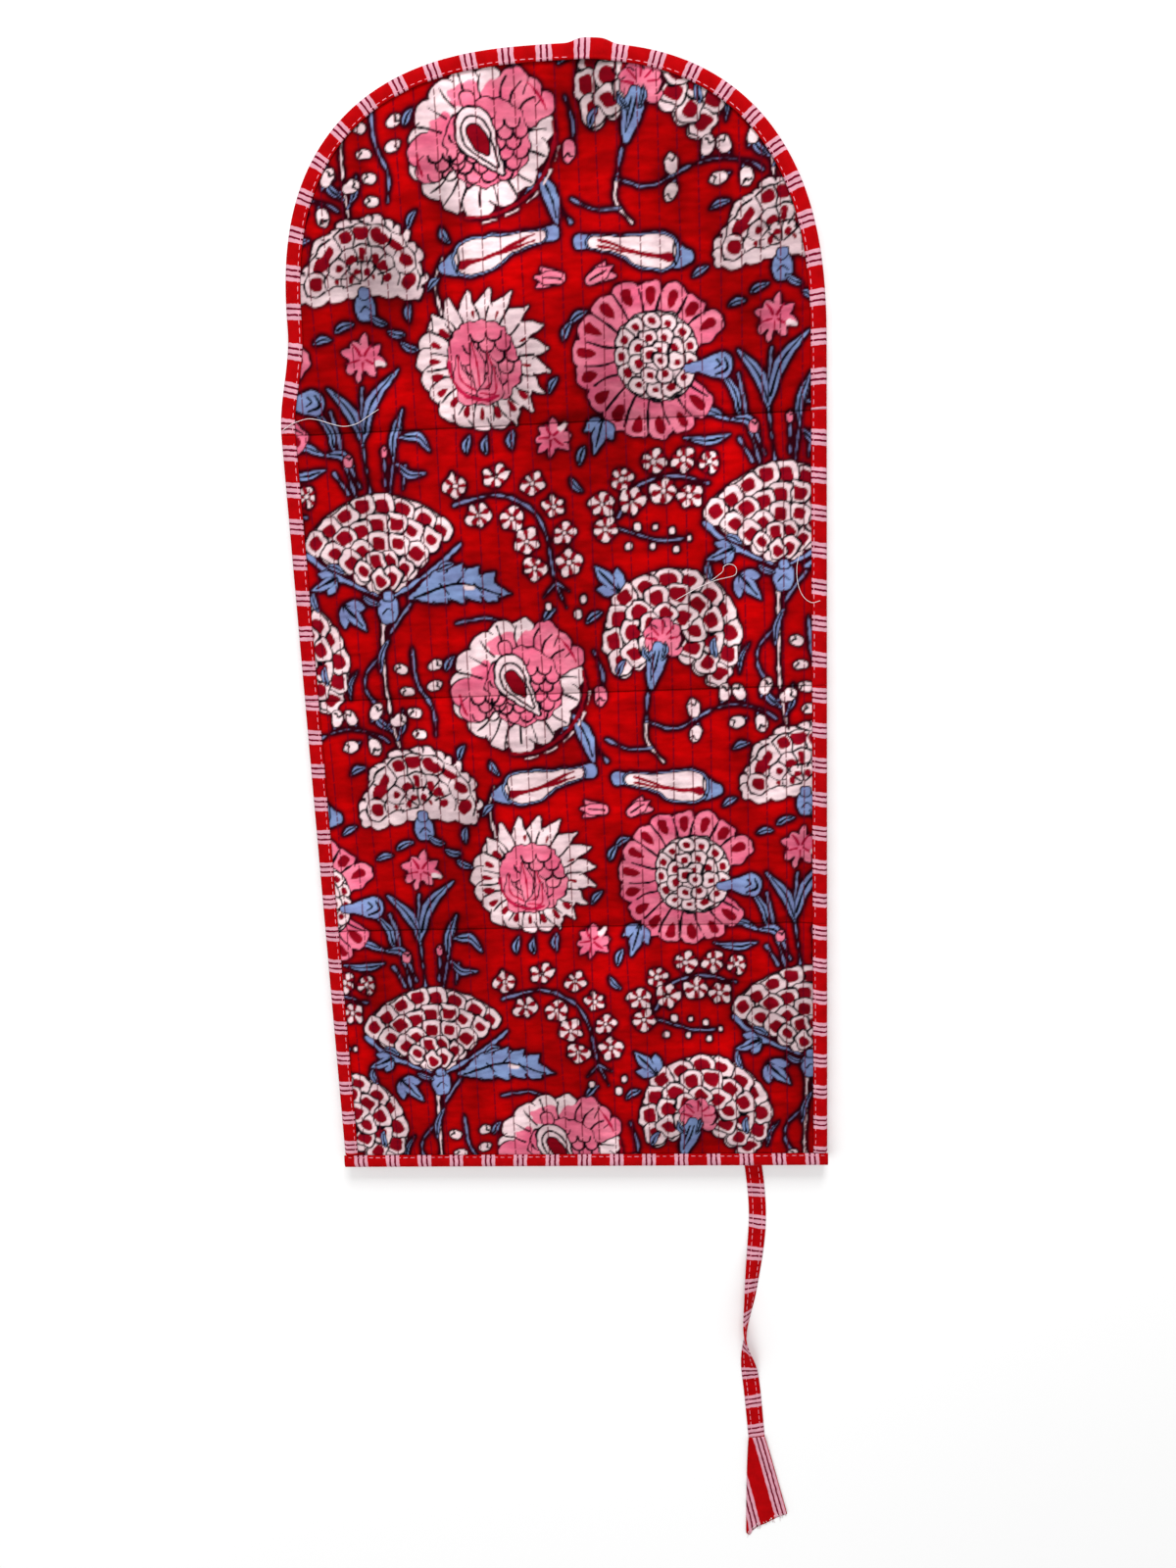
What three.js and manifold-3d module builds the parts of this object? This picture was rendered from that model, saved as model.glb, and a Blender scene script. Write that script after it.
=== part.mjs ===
// A quilted cotton roll-up organiser, laid open with its printed outer face up.
//
// Three pocket sections and a round-topped flap are joined end to end along sewn seams, and each
// seam is a fold line. Under the printed face lie the batting and the lining, and each section has
// a zipped pocket on its underside. A folded binding wraps the whole edge. A flat cloth tie is sewn
// under the flap's tip, lies loose under the panel and comes out past the bottom edge.
//
// Millimetres. +X is to the right, +Y runs towards the flap's tip and +Z is up. The origin is the
// middle of the open panel, on the surface that it lies on.

import * as THREE from 'three';
import { mergeVertices } from 'three/addons/utils/BufferGeometryUtils.js';
import Module from 'manifold-3d';

const wasm = await Module();
wasm.setup();

// Driving dimensions of the panel
const PANEL_WIDTH = 240;
const LOWER_LENGTH = 124;
const MIDDLE_LENGTH = 112;
const UPPER_LENGTH = 119;
const FLAP_LENGTH = 150;
const SEAM_GAP = 0.6;

// The flap's edge is straight for a short way and then follows a quarter of a superellipse on each side.
// The left shoulder tapers inwards just above the flap's seam, as it was cut by hand.
const ARCH_PEAK = 2;
const ARCH_EXPONENT = 2.55;
const LEFT_ARCH_HEIGHT = 109;
const RIGHT_ARCH_HEIGHT = 125;
const ARCH_STEPS = 44;
const SHOULDER_TAPER = 7;
const SHOULDER_LENGTH = 45;
const SHOULDER_STEPS = 5;

// Binding: a channel of folded cloth around the panel's edge
const BINDING_WIDTH = 7;
const BINDING_WEB = 1.1;
const BINDING_BOTTOM = 0.9;
const BINDING_LOWER_LEG = 2.4;
const BINDING_UPPER_LEG = 8.6;
const BINDING_TOP = 9.2;
const EDGE_INSET = 1.4;

// Cloth layers, each from its lowest to its highest level
const PRINTED_FACE = [8.1, 8.5];
const BATTING = [5.1, 8.0];
const LINING = [4.6, 5.0];
const FLAP_BATTING = [3.1, 8.0];
const FLAP_LINING = [2.6, 3.0];
const POCKET_PANEL = [2.65, 3.1];

// Zip: two tapes with a coil on each, between the two halves of the pocket's cloth
const ZIP_DROP = 32;
const ZIP_SLOT = 6.6;
const TAPE_LEVELS = [3.25, 3.65];
const TAPE_INNER = 2.1;
const TAPE_OUTER = 9;
const COIL_LEVELS = [3.0, 3.9];
const COIL_INNER = 0.5;
const COIL_OUTER = 1.9;
const COIL_HALF_LENGTH = 107.5;
const STOP_LENGTH = 1.6;
const STOP_WIDTH = 4;
const STOP_LEVELS = [2.8, 4.0];
const STOP_GAP = 0.3;

// Slider: two plates on a web that runs between the coils, with a small bail for the pull
const SLIDER_X = -102.5;
const SLIDER_LENGTH = 8;
const SLIDER_WIDTH = 5.6;
const SLIDER_LOWER_PLATE = [2.5, 2.9];
const SLIDER_UPPER_PLATE = [4.0, 4.4];
const SLIDER_WEB = 0.6;
const BAIL_LEVELS = [0.95, 1.4];
const BAIL_WIDTH = 0.8;
const BAIL_INNER = 0.9;
const BAIL_OUTER = 1.6;

// Pull: a flat tab with an eye, whose end bar is held by the bail
const PULL_PIVOT_Z = 1.95;
const PULL_THICKNESS = 0.6;
const PULL_LENGTH = 18;
const PULL_WIDTH = 5;
const PULL_BAR = 0.8;
const PULL_EYE_LENGTH = 3.4;
const PULL_EYE_WIDTH = 2.4;

// Tie: a folded strap that lies flat on the surface, with its cut end opened out
const TIE_WIDTH = 8.5;
const TIE_THICKNESS = 0.7;
const TIE_STEP = 16;
const TIE_SPLIT = 0.3;
const TIE_END_LENGTH = 52;
const TIE_END_WIDTH = 21;
const TIE_END_SLANT = 9;
const TIE_END_STEPS = 10;
const TACK_LENGTH = 4;
const TACK_WIDTH = 12;
const TACK_GAP = 1.2;
const TIE_UNDER_FLAP = [
  [22, 246],
  [25, 218],
  [29, 190],
  [35, 138],
  [39, 102.5],
];
const TIE_RUN = [
  [39, 102.5],
  [43, 66],
  [48, 26],
  [57, -54],
  [67, -130],
  [77, -208],
  [83, -246],
  [86, -284],
  [82, -324],
  [79, -350],
  [82, -384],
  [84, -412],
];

// Lines across the panel, from the bottom edge to the flap's tip
const PANEL_LENGTH = LOWER_LENGTH + MIDDLE_LENGTH + UPPER_LENGTH + FLAP_LENGTH;
const BOTTOM_EDGE = -PANEL_LENGTH / 2;
const LOWER_SEAM = BOTTOM_EDGE + LOWER_LENGTH;
const MIDDLE_SEAM = LOWER_SEAM + MIDDLE_LENGTH;
const FLAP_SEAM = MIDDLE_SEAM + UPPER_LENGTH;
const HALF_WIDTH = PANEL_WIDTH / 2;

const X_AXIS = new THREE.Vector3(1, 0, 0);
const Y_AXIS = new THREE.Vector3(0, 1, 0);
const Z_AXIS = new THREE.Vector3(0, 0, 1);

const cloth = (colour) => new THREE.MeshStandardMaterial({ color: colour, roughness: 0.9, metalness: 0 });
const printedCotton = cloth(0xb8202c);
const stripedCotton = cloth(0xc42030);
const wadding = cloth(0xf2efe8);
const liningCotton = cloth(0xa8161e);
const tapeCloth = cloth(0x8e1018);
const thread = cloth(0xf0b8c0);
const coilNylon = new THREE.MeshStandardMaterial({ color: 0x901018, roughness: 0.45, metalness: 0 });
const zipMetal = new THREE.MeshStandardMaterial({ color: 0xc8c4ba, roughness: 0.3, metalness: 1 });

const organiser = new THREE.Group();

function addPiece(name, geometry, material) {
  const piece = new THREE.Mesh(geometry, material);
  piece.name = name;
  organiser.add(piece);
  return piece;
}

// A flat rectangular plate between two corners
function addPlate(name, material, [x0, x1], [y0, y1], [z0, z1]) {
  const piece = addPiece(name, new THREE.BoxGeometry(x1 - x0, y1 - y0, z1 - z0), material);
  piece.position.set((x0 + x1) / 2, (y0 + y1) / 2, (z0 + z1) / 2);
}

// An outline in plan, raised between two levels
function prism(outline, [z0, z1]) {
  const geometry = new THREE.ExtrudeGeometry(outline, { depth: z1 - z0, bevelEnabled: false });
  return geometry.translate(0, 0, z0);
}

function box([x0, x1], [y0, y1], [z0, z1]) {
  const geometry = new THREE.BoxGeometry(x1 - x0, y1 - y0, z1 - z0);
  return geometry.translate((x0 + x1) / 2, (y0 + y1) / 2, (z0 + z1) / 2);
}

function toSolid(geometry) {
  const bare = geometry.clone();
  bare.deleteAttribute('normal');
  bare.deleteAttribute('uv');
  const merged = mergeVertices(bare);
  return new wasm.Manifold(new wasm.Mesh({
    numProp: 3,
    vertProperties: new Float32Array(merged.attributes.position.array),
    triVerts: new Uint32Array(merged.index.array),
  }));
}

function toGeometry(solid) {
  const mesh = solid.getMesh();
  const geometry = new THREE.BufferGeometry();
  geometry.setAttribute('position', new THREE.BufferAttribute(mesh.vertProperties, 3));
  geometry.setIndex(new THREE.BufferAttribute(mesh.triVerts, 1));
  geometry.computeVertexNormals();
  return geometry;
}

// The binding's cross-section: a channel that opens towards the middle of the panel. The first
// coordinate is the distance in from the edge, times the side's sign, and the second is the level.
function bindingSection(edge, inwards) {
  const web = edge + inwards * BINDING_WEB;
  const lip = edge + inwards * BINDING_WIDTH;
  return new THREE.Shape([
    new THREE.Vector2(edge, BINDING_BOTTOM),
    new THREE.Vector2(lip, BINDING_BOTTOM),
    new THREE.Vector2(lip, BINDING_LOWER_LEG),
    new THREE.Vector2(web, BINDING_LOWER_LEG),
    new THREE.Vector2(web, BINDING_UPPER_LEG),
    new THREE.Vector2(lip, BINDING_UPPER_LEG),
    new THREE.Vector2(lip, BINDING_TOP),
    new THREE.Vector2(edge, BINDING_TOP),
  ]);
}

function addSideBinding(name, side, [y0, y1]) {
  const outline = bindingSection(side * HALF_WIDTH, -side);
  const geometry = new THREE.ExtrudeGeometry(outline, { depth: y1 - y0, bevelEnabled: false });
  const alongPanel = new THREE.Matrix4().makeBasis(X_AXIS, Z_AXIS, Y_AXIS.clone().negate());
  geometry.applyMatrix4(alongPanel);
  geometry.translate(0, y1, 0);
  addPiece(name, geometry, stripedCotton);
}

function addBottomBinding() {
  const outline = bindingSection(BOTTOM_EDGE, 1);
  const geometry = new THREE.ExtrudeGeometry(outline, { depth: PANEL_WIDTH, bevelEnabled: false });
  const acrossPanel = new THREE.Matrix4().makeBasis(Y_AXIS, Z_AXIS, X_AXIS);
  geometry.applyMatrix4(acrossPanel);
  geometry.translate(-HALF_WIDTH, 0, 0);
  addPiece('bottom_binding', geometry, stripedCotton);
}

// Moves a point of the flap's left side in by the shoulder's taper, which fades out towards the peak
function taperShoulder(x, y) {
  const rise = THREE.MathUtils.smoothstep(y, FLAP_SEAM, FLAP_SEAM + SHOULDER_LENGTH);
  const share = Math.max(0, (ARCH_PEAK - x) / (ARCH_PEAK + HALF_WIDTH));
  return new THREE.Vector2(x + SHOULDER_TAPER * rise * share, y);
}

// The flap's outline in plan, a given distance inside its edge, from a straight end at y = start
function flapOutline(inset, start) {
  const top = FLAP_SEAM + FLAP_LENGTH - inset;
  const leftSpring = FLAP_SEAM + FLAP_LENGTH - LEFT_ARCH_HEIGHT;
  const points = [new THREE.Vector2(HALF_WIDTH - inset, start)];
  for (let step = 0; step <= ARCH_STEPS; step += 1) {
    const angle = Math.PI * step / ARCH_STEPS;
    const side = Math.sign(Math.cos(angle));
    const across = Math.abs(Math.cos(angle)) ** (2 / ARCH_EXPONENT);
    const up = Math.abs(Math.sin(angle)) ** (2 / ARCH_EXPONENT);
    const reach = side * (HALF_WIDTH - inset) - ARCH_PEAK;
    const height = (side > 0 ? RIGHT_ARCH_HEIGHT : LEFT_ARCH_HEIGHT) - inset;
    points.push(taperShoulder(ARCH_PEAK + reach * across, top - height * (1 - up)));
  }
  for (let step = 1; step < SHOULDER_STEPS; step += 1) {
    const y = THREE.MathUtils.lerp(leftSpring, FLAP_SEAM, step / SHOULDER_STEPS);
    points.push(taperShoulder(inset - HALF_WIDTH, y));
  }
  points.push(new THREE.Vector2(inset - HALF_WIDTH, start));
  return new THREE.Shape(points);
}

function addFlapBinding() {
  const start = FLAP_SEAM + SEAM_GAP / 2;
  const past = FLAP_SEAM - BINDING_WIDTH;
  const body = toSolid(prism(flapOutline(0, start), [BINDING_BOTTOM, BINDING_TOP]));
  const channel = toSolid(prism(flapOutline(BINDING_WEB, past), [BINDING_LOWER_LEG, BINDING_UPPER_LEG]));
  const window = toSolid(prism(flapOutline(BINDING_WIDTH, past), [BINDING_BOTTOM - 1, BINDING_TOP + 1]));
  addPiece('flap_binding', toGeometry(body.subtract(channel).subtract(window)), stripedCotton);
}

function addFlap() {
  const outline = flapOutline(EDGE_INSET, FLAP_SEAM + SEAM_GAP / 2);
  addPiece('flap_printed_face', prism(outline, PRINTED_FACE), printedCotton);
  addPiece('flap_batting', prism(outline, FLAP_BATTING), wadding);
  addPiece('flap_lining', prism(outline, FLAP_LINING), liningCotton);
  addFlapBinding();
}

// The slider is an I in section: the coils pass on both sides of its web
function addSlider(name, zipY) {
  const along = [SLIDER_X - SLIDER_LENGTH / 2, SLIDER_X + SLIDER_LENGTH / 2];
  const across = [zipY - SLIDER_WIDTH / 2, zipY + SLIDER_WIDTH / 2];
  const web = [zipY - SLIDER_WEB / 2, zipY + SLIDER_WEB / 2];
  const bail = [zipY - BAIL_WIDTH / 2, zipY + BAIL_WIDTH / 2];
  const postLevels = [BAIL_LEVELS[0], SLIDER_LOWER_PLATE[1]];
  const solids = [
    box(along, across, SLIDER_LOWER_PLATE),
    box(along, across, SLIDER_UPPER_PLATE),
    box(along, web, [SLIDER_LOWER_PLATE[0], SLIDER_UPPER_PLATE[1]]),
    box([SLIDER_X - BAIL_OUTER, SLIDER_X + BAIL_OUTER], bail, BAIL_LEVELS),
    box([SLIDER_X - BAIL_OUTER, SLIDER_X - BAIL_INNER], bail, postLevels),
    box([SLIDER_X + BAIL_INNER, SLIDER_X + BAIL_OUTER], bail, postLevels),
  ];
  const slider = solids.map(toSolid).reduce((joined, solid) => joined.add(solid));
  addPiece(name, toGeometry(slider), zipMetal);
}

// The pull lies along the zip, from the bail's middle towards +X, with a rounded far end
function addPull(name, zipY) {
  const half = PULL_WIDTH / 2;
  const neck = SLIDER_X - PULL_BAR / 2;
  const tip = SLIDER_X + PULL_LENGTH - half;
  const outline = new THREE.Shape();
  outline.moveTo(neck, zipY - half);
  outline.lineTo(tip, zipY - half);
  outline.absarc(tip, zipY, half, -Math.PI / 2, Math.PI / 2);
  outline.lineTo(neck, zipY + half);
  const eye = new THREE.Path([
    new THREE.Vector2(SLIDER_X + PULL_BAR / 2, zipY - PULL_EYE_WIDTH / 2),
    new THREE.Vector2(SLIDER_X + PULL_BAR / 2, zipY + PULL_EYE_WIDTH / 2),
    new THREE.Vector2(SLIDER_X + PULL_EYE_LENGTH, zipY + PULL_EYE_WIDTH / 2),
    new THREE.Vector2(SLIDER_X + PULL_EYE_LENGTH, zipY - PULL_EYE_WIDTH / 2),
  ]);
  outline.holes.push(eye);
  const levels = [PULL_PIVOT_Z - PULL_THICKNESS / 2, PULL_PIVOT_Z + PULL_THICKNESS / 2];
  addPiece(name, prism(outline, levels), zipMetal);
}

// Each tape carries one coil, and a stop closes both coils at each end
function addZip(section, zipY) {
  const tapeSpan = [EDGE_INSET - HALF_WIDTH, HALF_WIDTH - EDGE_INSET];
  const coilSpan = [-COIL_HALF_LENGTH, COIL_HALF_LENGTH];
  for (const [edge, sign] of [['top', 1], ['bottom', -1]]) {
    const span = (inner, outer) => [zipY + sign * inner, zipY + sign * outer].sort((a, b) => a - b);
    addPlate(`${section}_zip_tape_${edge}`, tapeCloth, tapeSpan, span(TAPE_INNER, TAPE_OUTER), TAPE_LEVELS);
    addPlate(`${section}_zip_coil_${edge}`, coilNylon, coilSpan, span(COIL_INNER, COIL_OUTER), COIL_LEVELS);
  }
  for (const [end, sign] of [['left', -1], ['right', 1]]) {
    const near = sign * (COIL_HALF_LENGTH + STOP_GAP);
    const far = near + sign * STOP_LENGTH;
    const span = [near, far].sort((a, b) => a - b);
    const across = [zipY - STOP_WIDTH / 2, zipY + STOP_WIDTH / 2];
    addPlate(`${section}_zip_stop_${end}`, zipMetal, span, across, STOP_LEVELS);
  }
  addSlider(`${section}_zip_slider`, zipY);
  addPull(`${section}_zip_pull`, zipY);
}

// One pocket section between two lines across the panel. Its zip is a little below its upper seam.
function addSection(section, bottom, top, clearBottom, bindingBottom) {
  const inner = [EDGE_INSET - HALF_WIDTH, HALF_WIDTH - EDGE_INSET];
  const ends = [bottom + clearBottom, top - SEAM_GAP / 2];
  const zipY = top - ZIP_DROP;
  addPlate(`${section}_printed_face`, printedCotton, inner, ends, PRINTED_FACE);
  addPlate(`${section}_batting`, wadding, inner, ends, BATTING);
  addPlate(`${section}_lining`, liningCotton, inner, ends, LINING);
  addPlate(`${section}_pocket_panel_top`, liningCotton, inner, [zipY + ZIP_SLOT / 2, ends[1]], POCKET_PANEL);
  addPlate(`${section}_pocket_panel_bottom`, liningCotton, inner, [ends[0], zipY - ZIP_SLOT / 2], POCKET_PANEL);
  addZip(section, zipY);
  addSideBinding(`${section}_binding_left`, -1, [bottom + bindingBottom, ends[1]]);
  addSideBinding(`${section}_binding_right`, 1, [bottom + bindingBottom, ends[1]]);
}

// Evenly spaced points of the smooth line through a list of points in plan
function smoothLine(points) {
  const line = new THREE.CatmullRomCurve3(points.map(([x, y]) => new THREE.Vector3(x, y, 0)));
  return line.getSpacedPoints(Math.ceil(line.getLength() / TIE_STEP));
}

// The outline of a strap along a line in plan
function strapOutline(line, halfWidth) {
  const sides = [[], []];
  line.forEach((point, index) => {
    const before = line[Math.max(index - 1, 0)];
    const after = line[Math.min(index + 1, line.length - 1)];
    const along = after.clone().sub(before).normalize();
    sides[0].push(new THREE.Vector2(point.x - along.y * halfWidth, point.y + along.x * halfWidth));
    sides[1].unshift(new THREE.Vector2(point.x + along.y * halfWidth, point.y - along.x * halfWidth));
  });
  return new THREE.Shape([...sides[0], ...sides[1]]);
}

// The opened-out cut end: it widens smoothly, and its cut edge runs at a slant
function frayedEndOutline(start) {
  const left = [];
  const right = [];
  for (let step = 0; step <= TIE_END_STEPS; step += 1) {
    const share = step / TIE_END_STEPS;
    const spread = share * share * (3 - 2 * share);
    const halfWidth = (TIE_WIDTH + (TIE_END_WIDTH - TIE_WIDTH) * spread) / 2;
    const y = start.y - TIE_SPLIT - share * TIE_END_LENGTH;
    left.push(new THREE.Vector2(start.x - halfWidth, y - share * TIE_END_SLANT / 2));
    right.unshift(new THREE.Vector2(start.x + halfWidth, y + share * TIE_END_SLANT / 2));
  }
  return new THREE.Shape([...left, ...right]);
}

function addTie() {
  const levels = [0, TIE_THICKNESS];
  const underFlap = smoothLine(TIE_UNDER_FLAP);
  const run = smoothLine(TIE_RUN);
  underFlap[underFlap.length - 1].y += TIE_SPLIT;
  run[0].y -= TIE_SPLIT;
  addPiece('tie_under_flap', prism(strapOutline(underFlap, TIE_WIDTH / 2), levels), stripedCotton);
  addPiece('tie_strap', prism(strapOutline(run, TIE_WIDTH / 2), levels), stripedCotton);
  addPiece('tie_frayed_end', prism(frayedEndOutline(run[run.length - 1]), levels), stripedCotton);
  const [tackX, strapEnd] = TIE_UNDER_FLAP[0];
  const tackStart = strapEnd + TACK_GAP;
  const across = [tackX - TACK_WIDTH / 2, tackX + TACK_WIDTH / 2];
  addPlate('tie_tack', thread, across, [tackStart, tackStart + TACK_LENGTH], levels);
}

addFlap();
addSection('upper', MIDDLE_SEAM, FLAP_SEAM, SEAM_GAP / 2, SEAM_GAP / 2);
addSection('middle', LOWER_SEAM, MIDDLE_SEAM, SEAM_GAP / 2, SEAM_GAP / 2);
addSection('lower', BOTTOM_EDGE, LOWER_SEAM, EDGE_INSET, BINDING_WIDTH + SEAM_GAP);
addBottomBinding();
addTie();

export default organiser;
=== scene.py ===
"""The looks of a quilted roll-up organiser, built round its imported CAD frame."""
import math

import bpy
import numpy as np
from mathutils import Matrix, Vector


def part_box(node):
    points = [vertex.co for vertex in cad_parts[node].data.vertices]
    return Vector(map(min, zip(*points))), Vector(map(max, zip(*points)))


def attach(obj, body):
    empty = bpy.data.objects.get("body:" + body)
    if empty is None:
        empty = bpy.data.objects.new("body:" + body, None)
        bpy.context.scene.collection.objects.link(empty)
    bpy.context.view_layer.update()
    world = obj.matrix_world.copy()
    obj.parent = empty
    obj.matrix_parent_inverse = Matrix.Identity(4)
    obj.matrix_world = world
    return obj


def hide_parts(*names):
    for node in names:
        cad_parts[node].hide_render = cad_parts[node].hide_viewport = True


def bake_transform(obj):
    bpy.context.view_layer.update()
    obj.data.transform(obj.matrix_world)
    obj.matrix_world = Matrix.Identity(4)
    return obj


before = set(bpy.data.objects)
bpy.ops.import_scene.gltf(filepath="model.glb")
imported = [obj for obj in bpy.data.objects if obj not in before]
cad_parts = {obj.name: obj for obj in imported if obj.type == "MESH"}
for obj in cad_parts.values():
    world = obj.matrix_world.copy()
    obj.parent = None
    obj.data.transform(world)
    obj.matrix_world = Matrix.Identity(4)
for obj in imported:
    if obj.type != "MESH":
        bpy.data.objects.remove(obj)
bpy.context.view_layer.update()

# ---- measures, in millimetres: meshes turn them into metres when they are made
MM = 0.001


def corners(node):
    """A CAD node's lowest and highest corners, in millimetres."""
    return [np.array(corner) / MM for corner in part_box(node)]


def seam_between(below, above):
    return float(corners(below)[1][1] + corners(above)[0][1]) / 2


BOTTOM = float(corners("bottom_binding")[0][1])
LOWER_SEAM = seam_between("lower_printed_face", "middle_printed_face")
MIDDLE_SEAM = seam_between("middle_printed_face", "upper_printed_face")
FLAP_SEAM = seam_between("upper_printed_face", "flap_printed_face")
TOP = float(corners("flap_binding")[1][1])
HALF_WIDTH = float(corners("bottom_binding")[1][0])
ARCH_PEAK = 2.0
ARCH_EXPONENT = 2.55
LEFT_ARCH_HEIGHT = 109.0
RIGHT_ARCH_HEIGHT = 125.0
SHOULDER_TAPER = 7.0
SHOULDER_LENGTH = 45.0

GRID = 0.6
CHANNEL = 14 * GRID
QUILT_INSET = 2.0
QUILT_BASE = 7.3
PUFF, PUFF_POWER, PUFF_AT_SEAM = 0.9, 2.2, 0.4
CROWN, CROWN_POWER = 0.9, 4
SWELL = 0.3
RIPPLE, RIPPLE_ON_PUFF, LONG_RIPPLE = 0.22, 0.08, 0.14
SEAM_DEPTH, SEAM_SPREAD, SEAM_POWER = 1.5, 2.4, 1.3
SEAM_LINE, SEAM_SHADE = 0.4, 0.45
TUCK_HEIGHT, TUCK_DIP = 0.55, 0.4
TUCK_START, TUCK_END = 5.0, 15.0
ROW_WANDER = 0.3
DASH_PITCH, DASH_SHARE, DASH_SHIFT = 3.2, 0.9, 1.7
BATTING_UNDERSIDE = float(corners("upper_batting")[0][2])
BINDING_WIDTH = 7.0
BINDING_STEP = 0.8
STITCH_LINE = 6.0
STITCH_LEVEL = 9.12
STITCH_PITCH = 3.5
STITCH_LENGTH = 2.3
STITCH_THICK = 0.16

TIE_WIDTH = 8.5
TIE_ROUTE = (
    (22, 246), (25, 218), (29, 190), (35, 138), (39, 102.5), (43, 66), (48, 26), (57, -54), (67, -130),
    (77, -208), (83, -246), (86, -284), (82, -324), (79, -350), (82, -384), (84, -412),
)
TIE_STEPS = 320
TIE_LEVEL = 0.4
TIE_FLOOR = 0.02
TIE_EDGE = ((0, 0), (0.2, 0.27), (0.8, 0.36), (1.3, 0.25), (1.8, 0.34))
TIE_CROWN = 0.37
TIE_STITCH_ROWS = (-2.3, 2.2)
TIE_STITCH_PITCH, TIE_STITCH_LENGTH, TIE_STITCH_LEVEL = 3.4, 2.7, 0.34
TWIST = ((-295, 0), (-325, 40), (-345, 70), (-353, 90), (-360, 125), (-375, 180))
TIE_STRIPE_SCALE = 0.92
TIE_STRIPE_SHIFT = 9.2
TACK_PLACE = 22.0
END_LENGTH = 52.0
END_DRIFT = 4.6
END_WIDTH = 22.6
END_SLANT = 9.0
END_CORNER = 3.6
END_LAYER = 0.28
END_STRIPE_SCALE = 1.12
FRAYS, FRAY_POINTS, FRAY_THICK = 16, 7, 0.17

STRIPE_PITCH = 16.0
STRIPE_START = 4.0
STRIPE_STEP = 2.55
STRIPE_WIDTH = 1.6
STRIPE_BLUR = 0.006
WEAVE_PITCH = 0.00062

TAPE_EDGE = 2.1
TOOTH_PITCH = 1.25
TOOTH_FAR, TOOTH_NEAR = 1.85, 0.22
HEM_WIDTH = 4.5
SIDE_INSET = 1.6

# ---- block print, worked out in millimetres of cloth ---------------------------------------------
REPEAT_WIDE, REPEAT_TALL = 179.0, 232.0
PRINT_ORIGIN = (-22.0, -11.5)
PRINT_DRAWN = (6.5, -3.0)
PRINT_TURN = math.radians(2.3)
PRINT_SLIP = 0.5
GRAIN = 0.25
PRINT_EDGE = 0.14
DYE_DEPTH = 0.7
HALOS = ((1.0, 2.2, 0.95), (2.6, 1.4, 0.16))
HALO_POWER = 2.0
SOFT_HALO, FULL_HALO = 0.55, 1.0
RIM_REACH = 0.5
INK_MARGIN = 2.5
MOTIF_EDGE = 0.2
LINE_WEIGHT = 1.35
FINE_LINE = 0.36


def linear(red, green, blue):
    """A display colour, 0 to 255, as the linear values that shaders work in."""
    value = np.array((red, green, blue)) / 255.0
    return np.where(value < 0.04045, value / 12.92, ((value + 0.055) / 1.055) ** 2.4)


def dye(light, deep):
    """The lighter and deeper tones of one printing ink."""
    return np.stack((linear(*light), linear(*deep))) * DYE_DEPTH


RED = dye((198, 1, 3), (164, 1, 4))
SHADE = dye((48, 1, 14), (48, 1, 14))
KEY = dye((4, 2, 8), (8, 4, 14))
WHITE = dye((255, 227, 231), (244, 211, 217))
PINK = dye((252, 138, 164), (236, 104, 138))
ROSE = dye((196, 26, 72), (168, 12, 50))
WINE = dye((150, 6, 28), (128, 4, 20))
BLUE = dye((138, 162, 212), (128, 138, 188))
MAUVE = dye((136, 146, 190), (104, 106, 150))
STRIPE_RED = linear(196, 4, 10) * DYE_DEPTH
STRIPE_PINK = linear(244, 176, 194) * DYE_DEPTH
STRIPE_WINE = linear(126, 6, 40) * DYE_DEPTH


def heading(angle):
    """Unit vector at an angle in degrees."""
    return np.array((math.cos(math.radians(angle)), math.sin(math.radians(angle))))


def smooth_path(points, count):
    """Evenly timed points on a Catmull-Rom curve through the given ones."""
    points = np.asarray(points, float)
    padded = np.vstack((2 * points[0] - points[1], points, 2 * points[-1] - points[-2]))
    time = np.linspace(0, len(points) - 1 - 1e-9, count)
    step = time.astype(int)
    t = (time - step)[:, None]
    a, b, c, d = (padded[step + k] for k in range(4))
    return 0.5 * (2 * b + (c - a) * t + (2 * a - 5 * b + 4 * c - d) * t * t
                  + (3 * b - a - 3 * c + d) * t ** 3)


def low_pass(shape, spacing, down, across):
    """A filter that smooths a wrapped grid over a spread down it and a spread across it."""
    rows = np.fft.fftfreq(shape[0], spacing)[:, None]
    columns = np.fft.rfftfreq(shape[1], spacing)[None, :]
    return np.exp(-2 * math.pi ** 2 * ((rows * down) ** 2 + (columns * across) ** 2))


def soft_noise(shape, spacing, down, across, seed):
    """Wrapped noise of zero mean and unit spread."""
    field = np.fft.rfft2(np.random.default_rng(seed).standard_normal(shape))
    field *= low_pass(shape, spacing, down, across)
    field[0, 0] = 0
    noise = np.fft.irfft2(field, shape)
    return noise / noise.std()


def blurred(field, spread):
    """A wrapped print grid, smoothed alike both ways."""
    return np.fft.irfft2(np.fft.rfft2(field) * low_pass(field.shape, GRAIN, spread, spread), field.shape)


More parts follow.
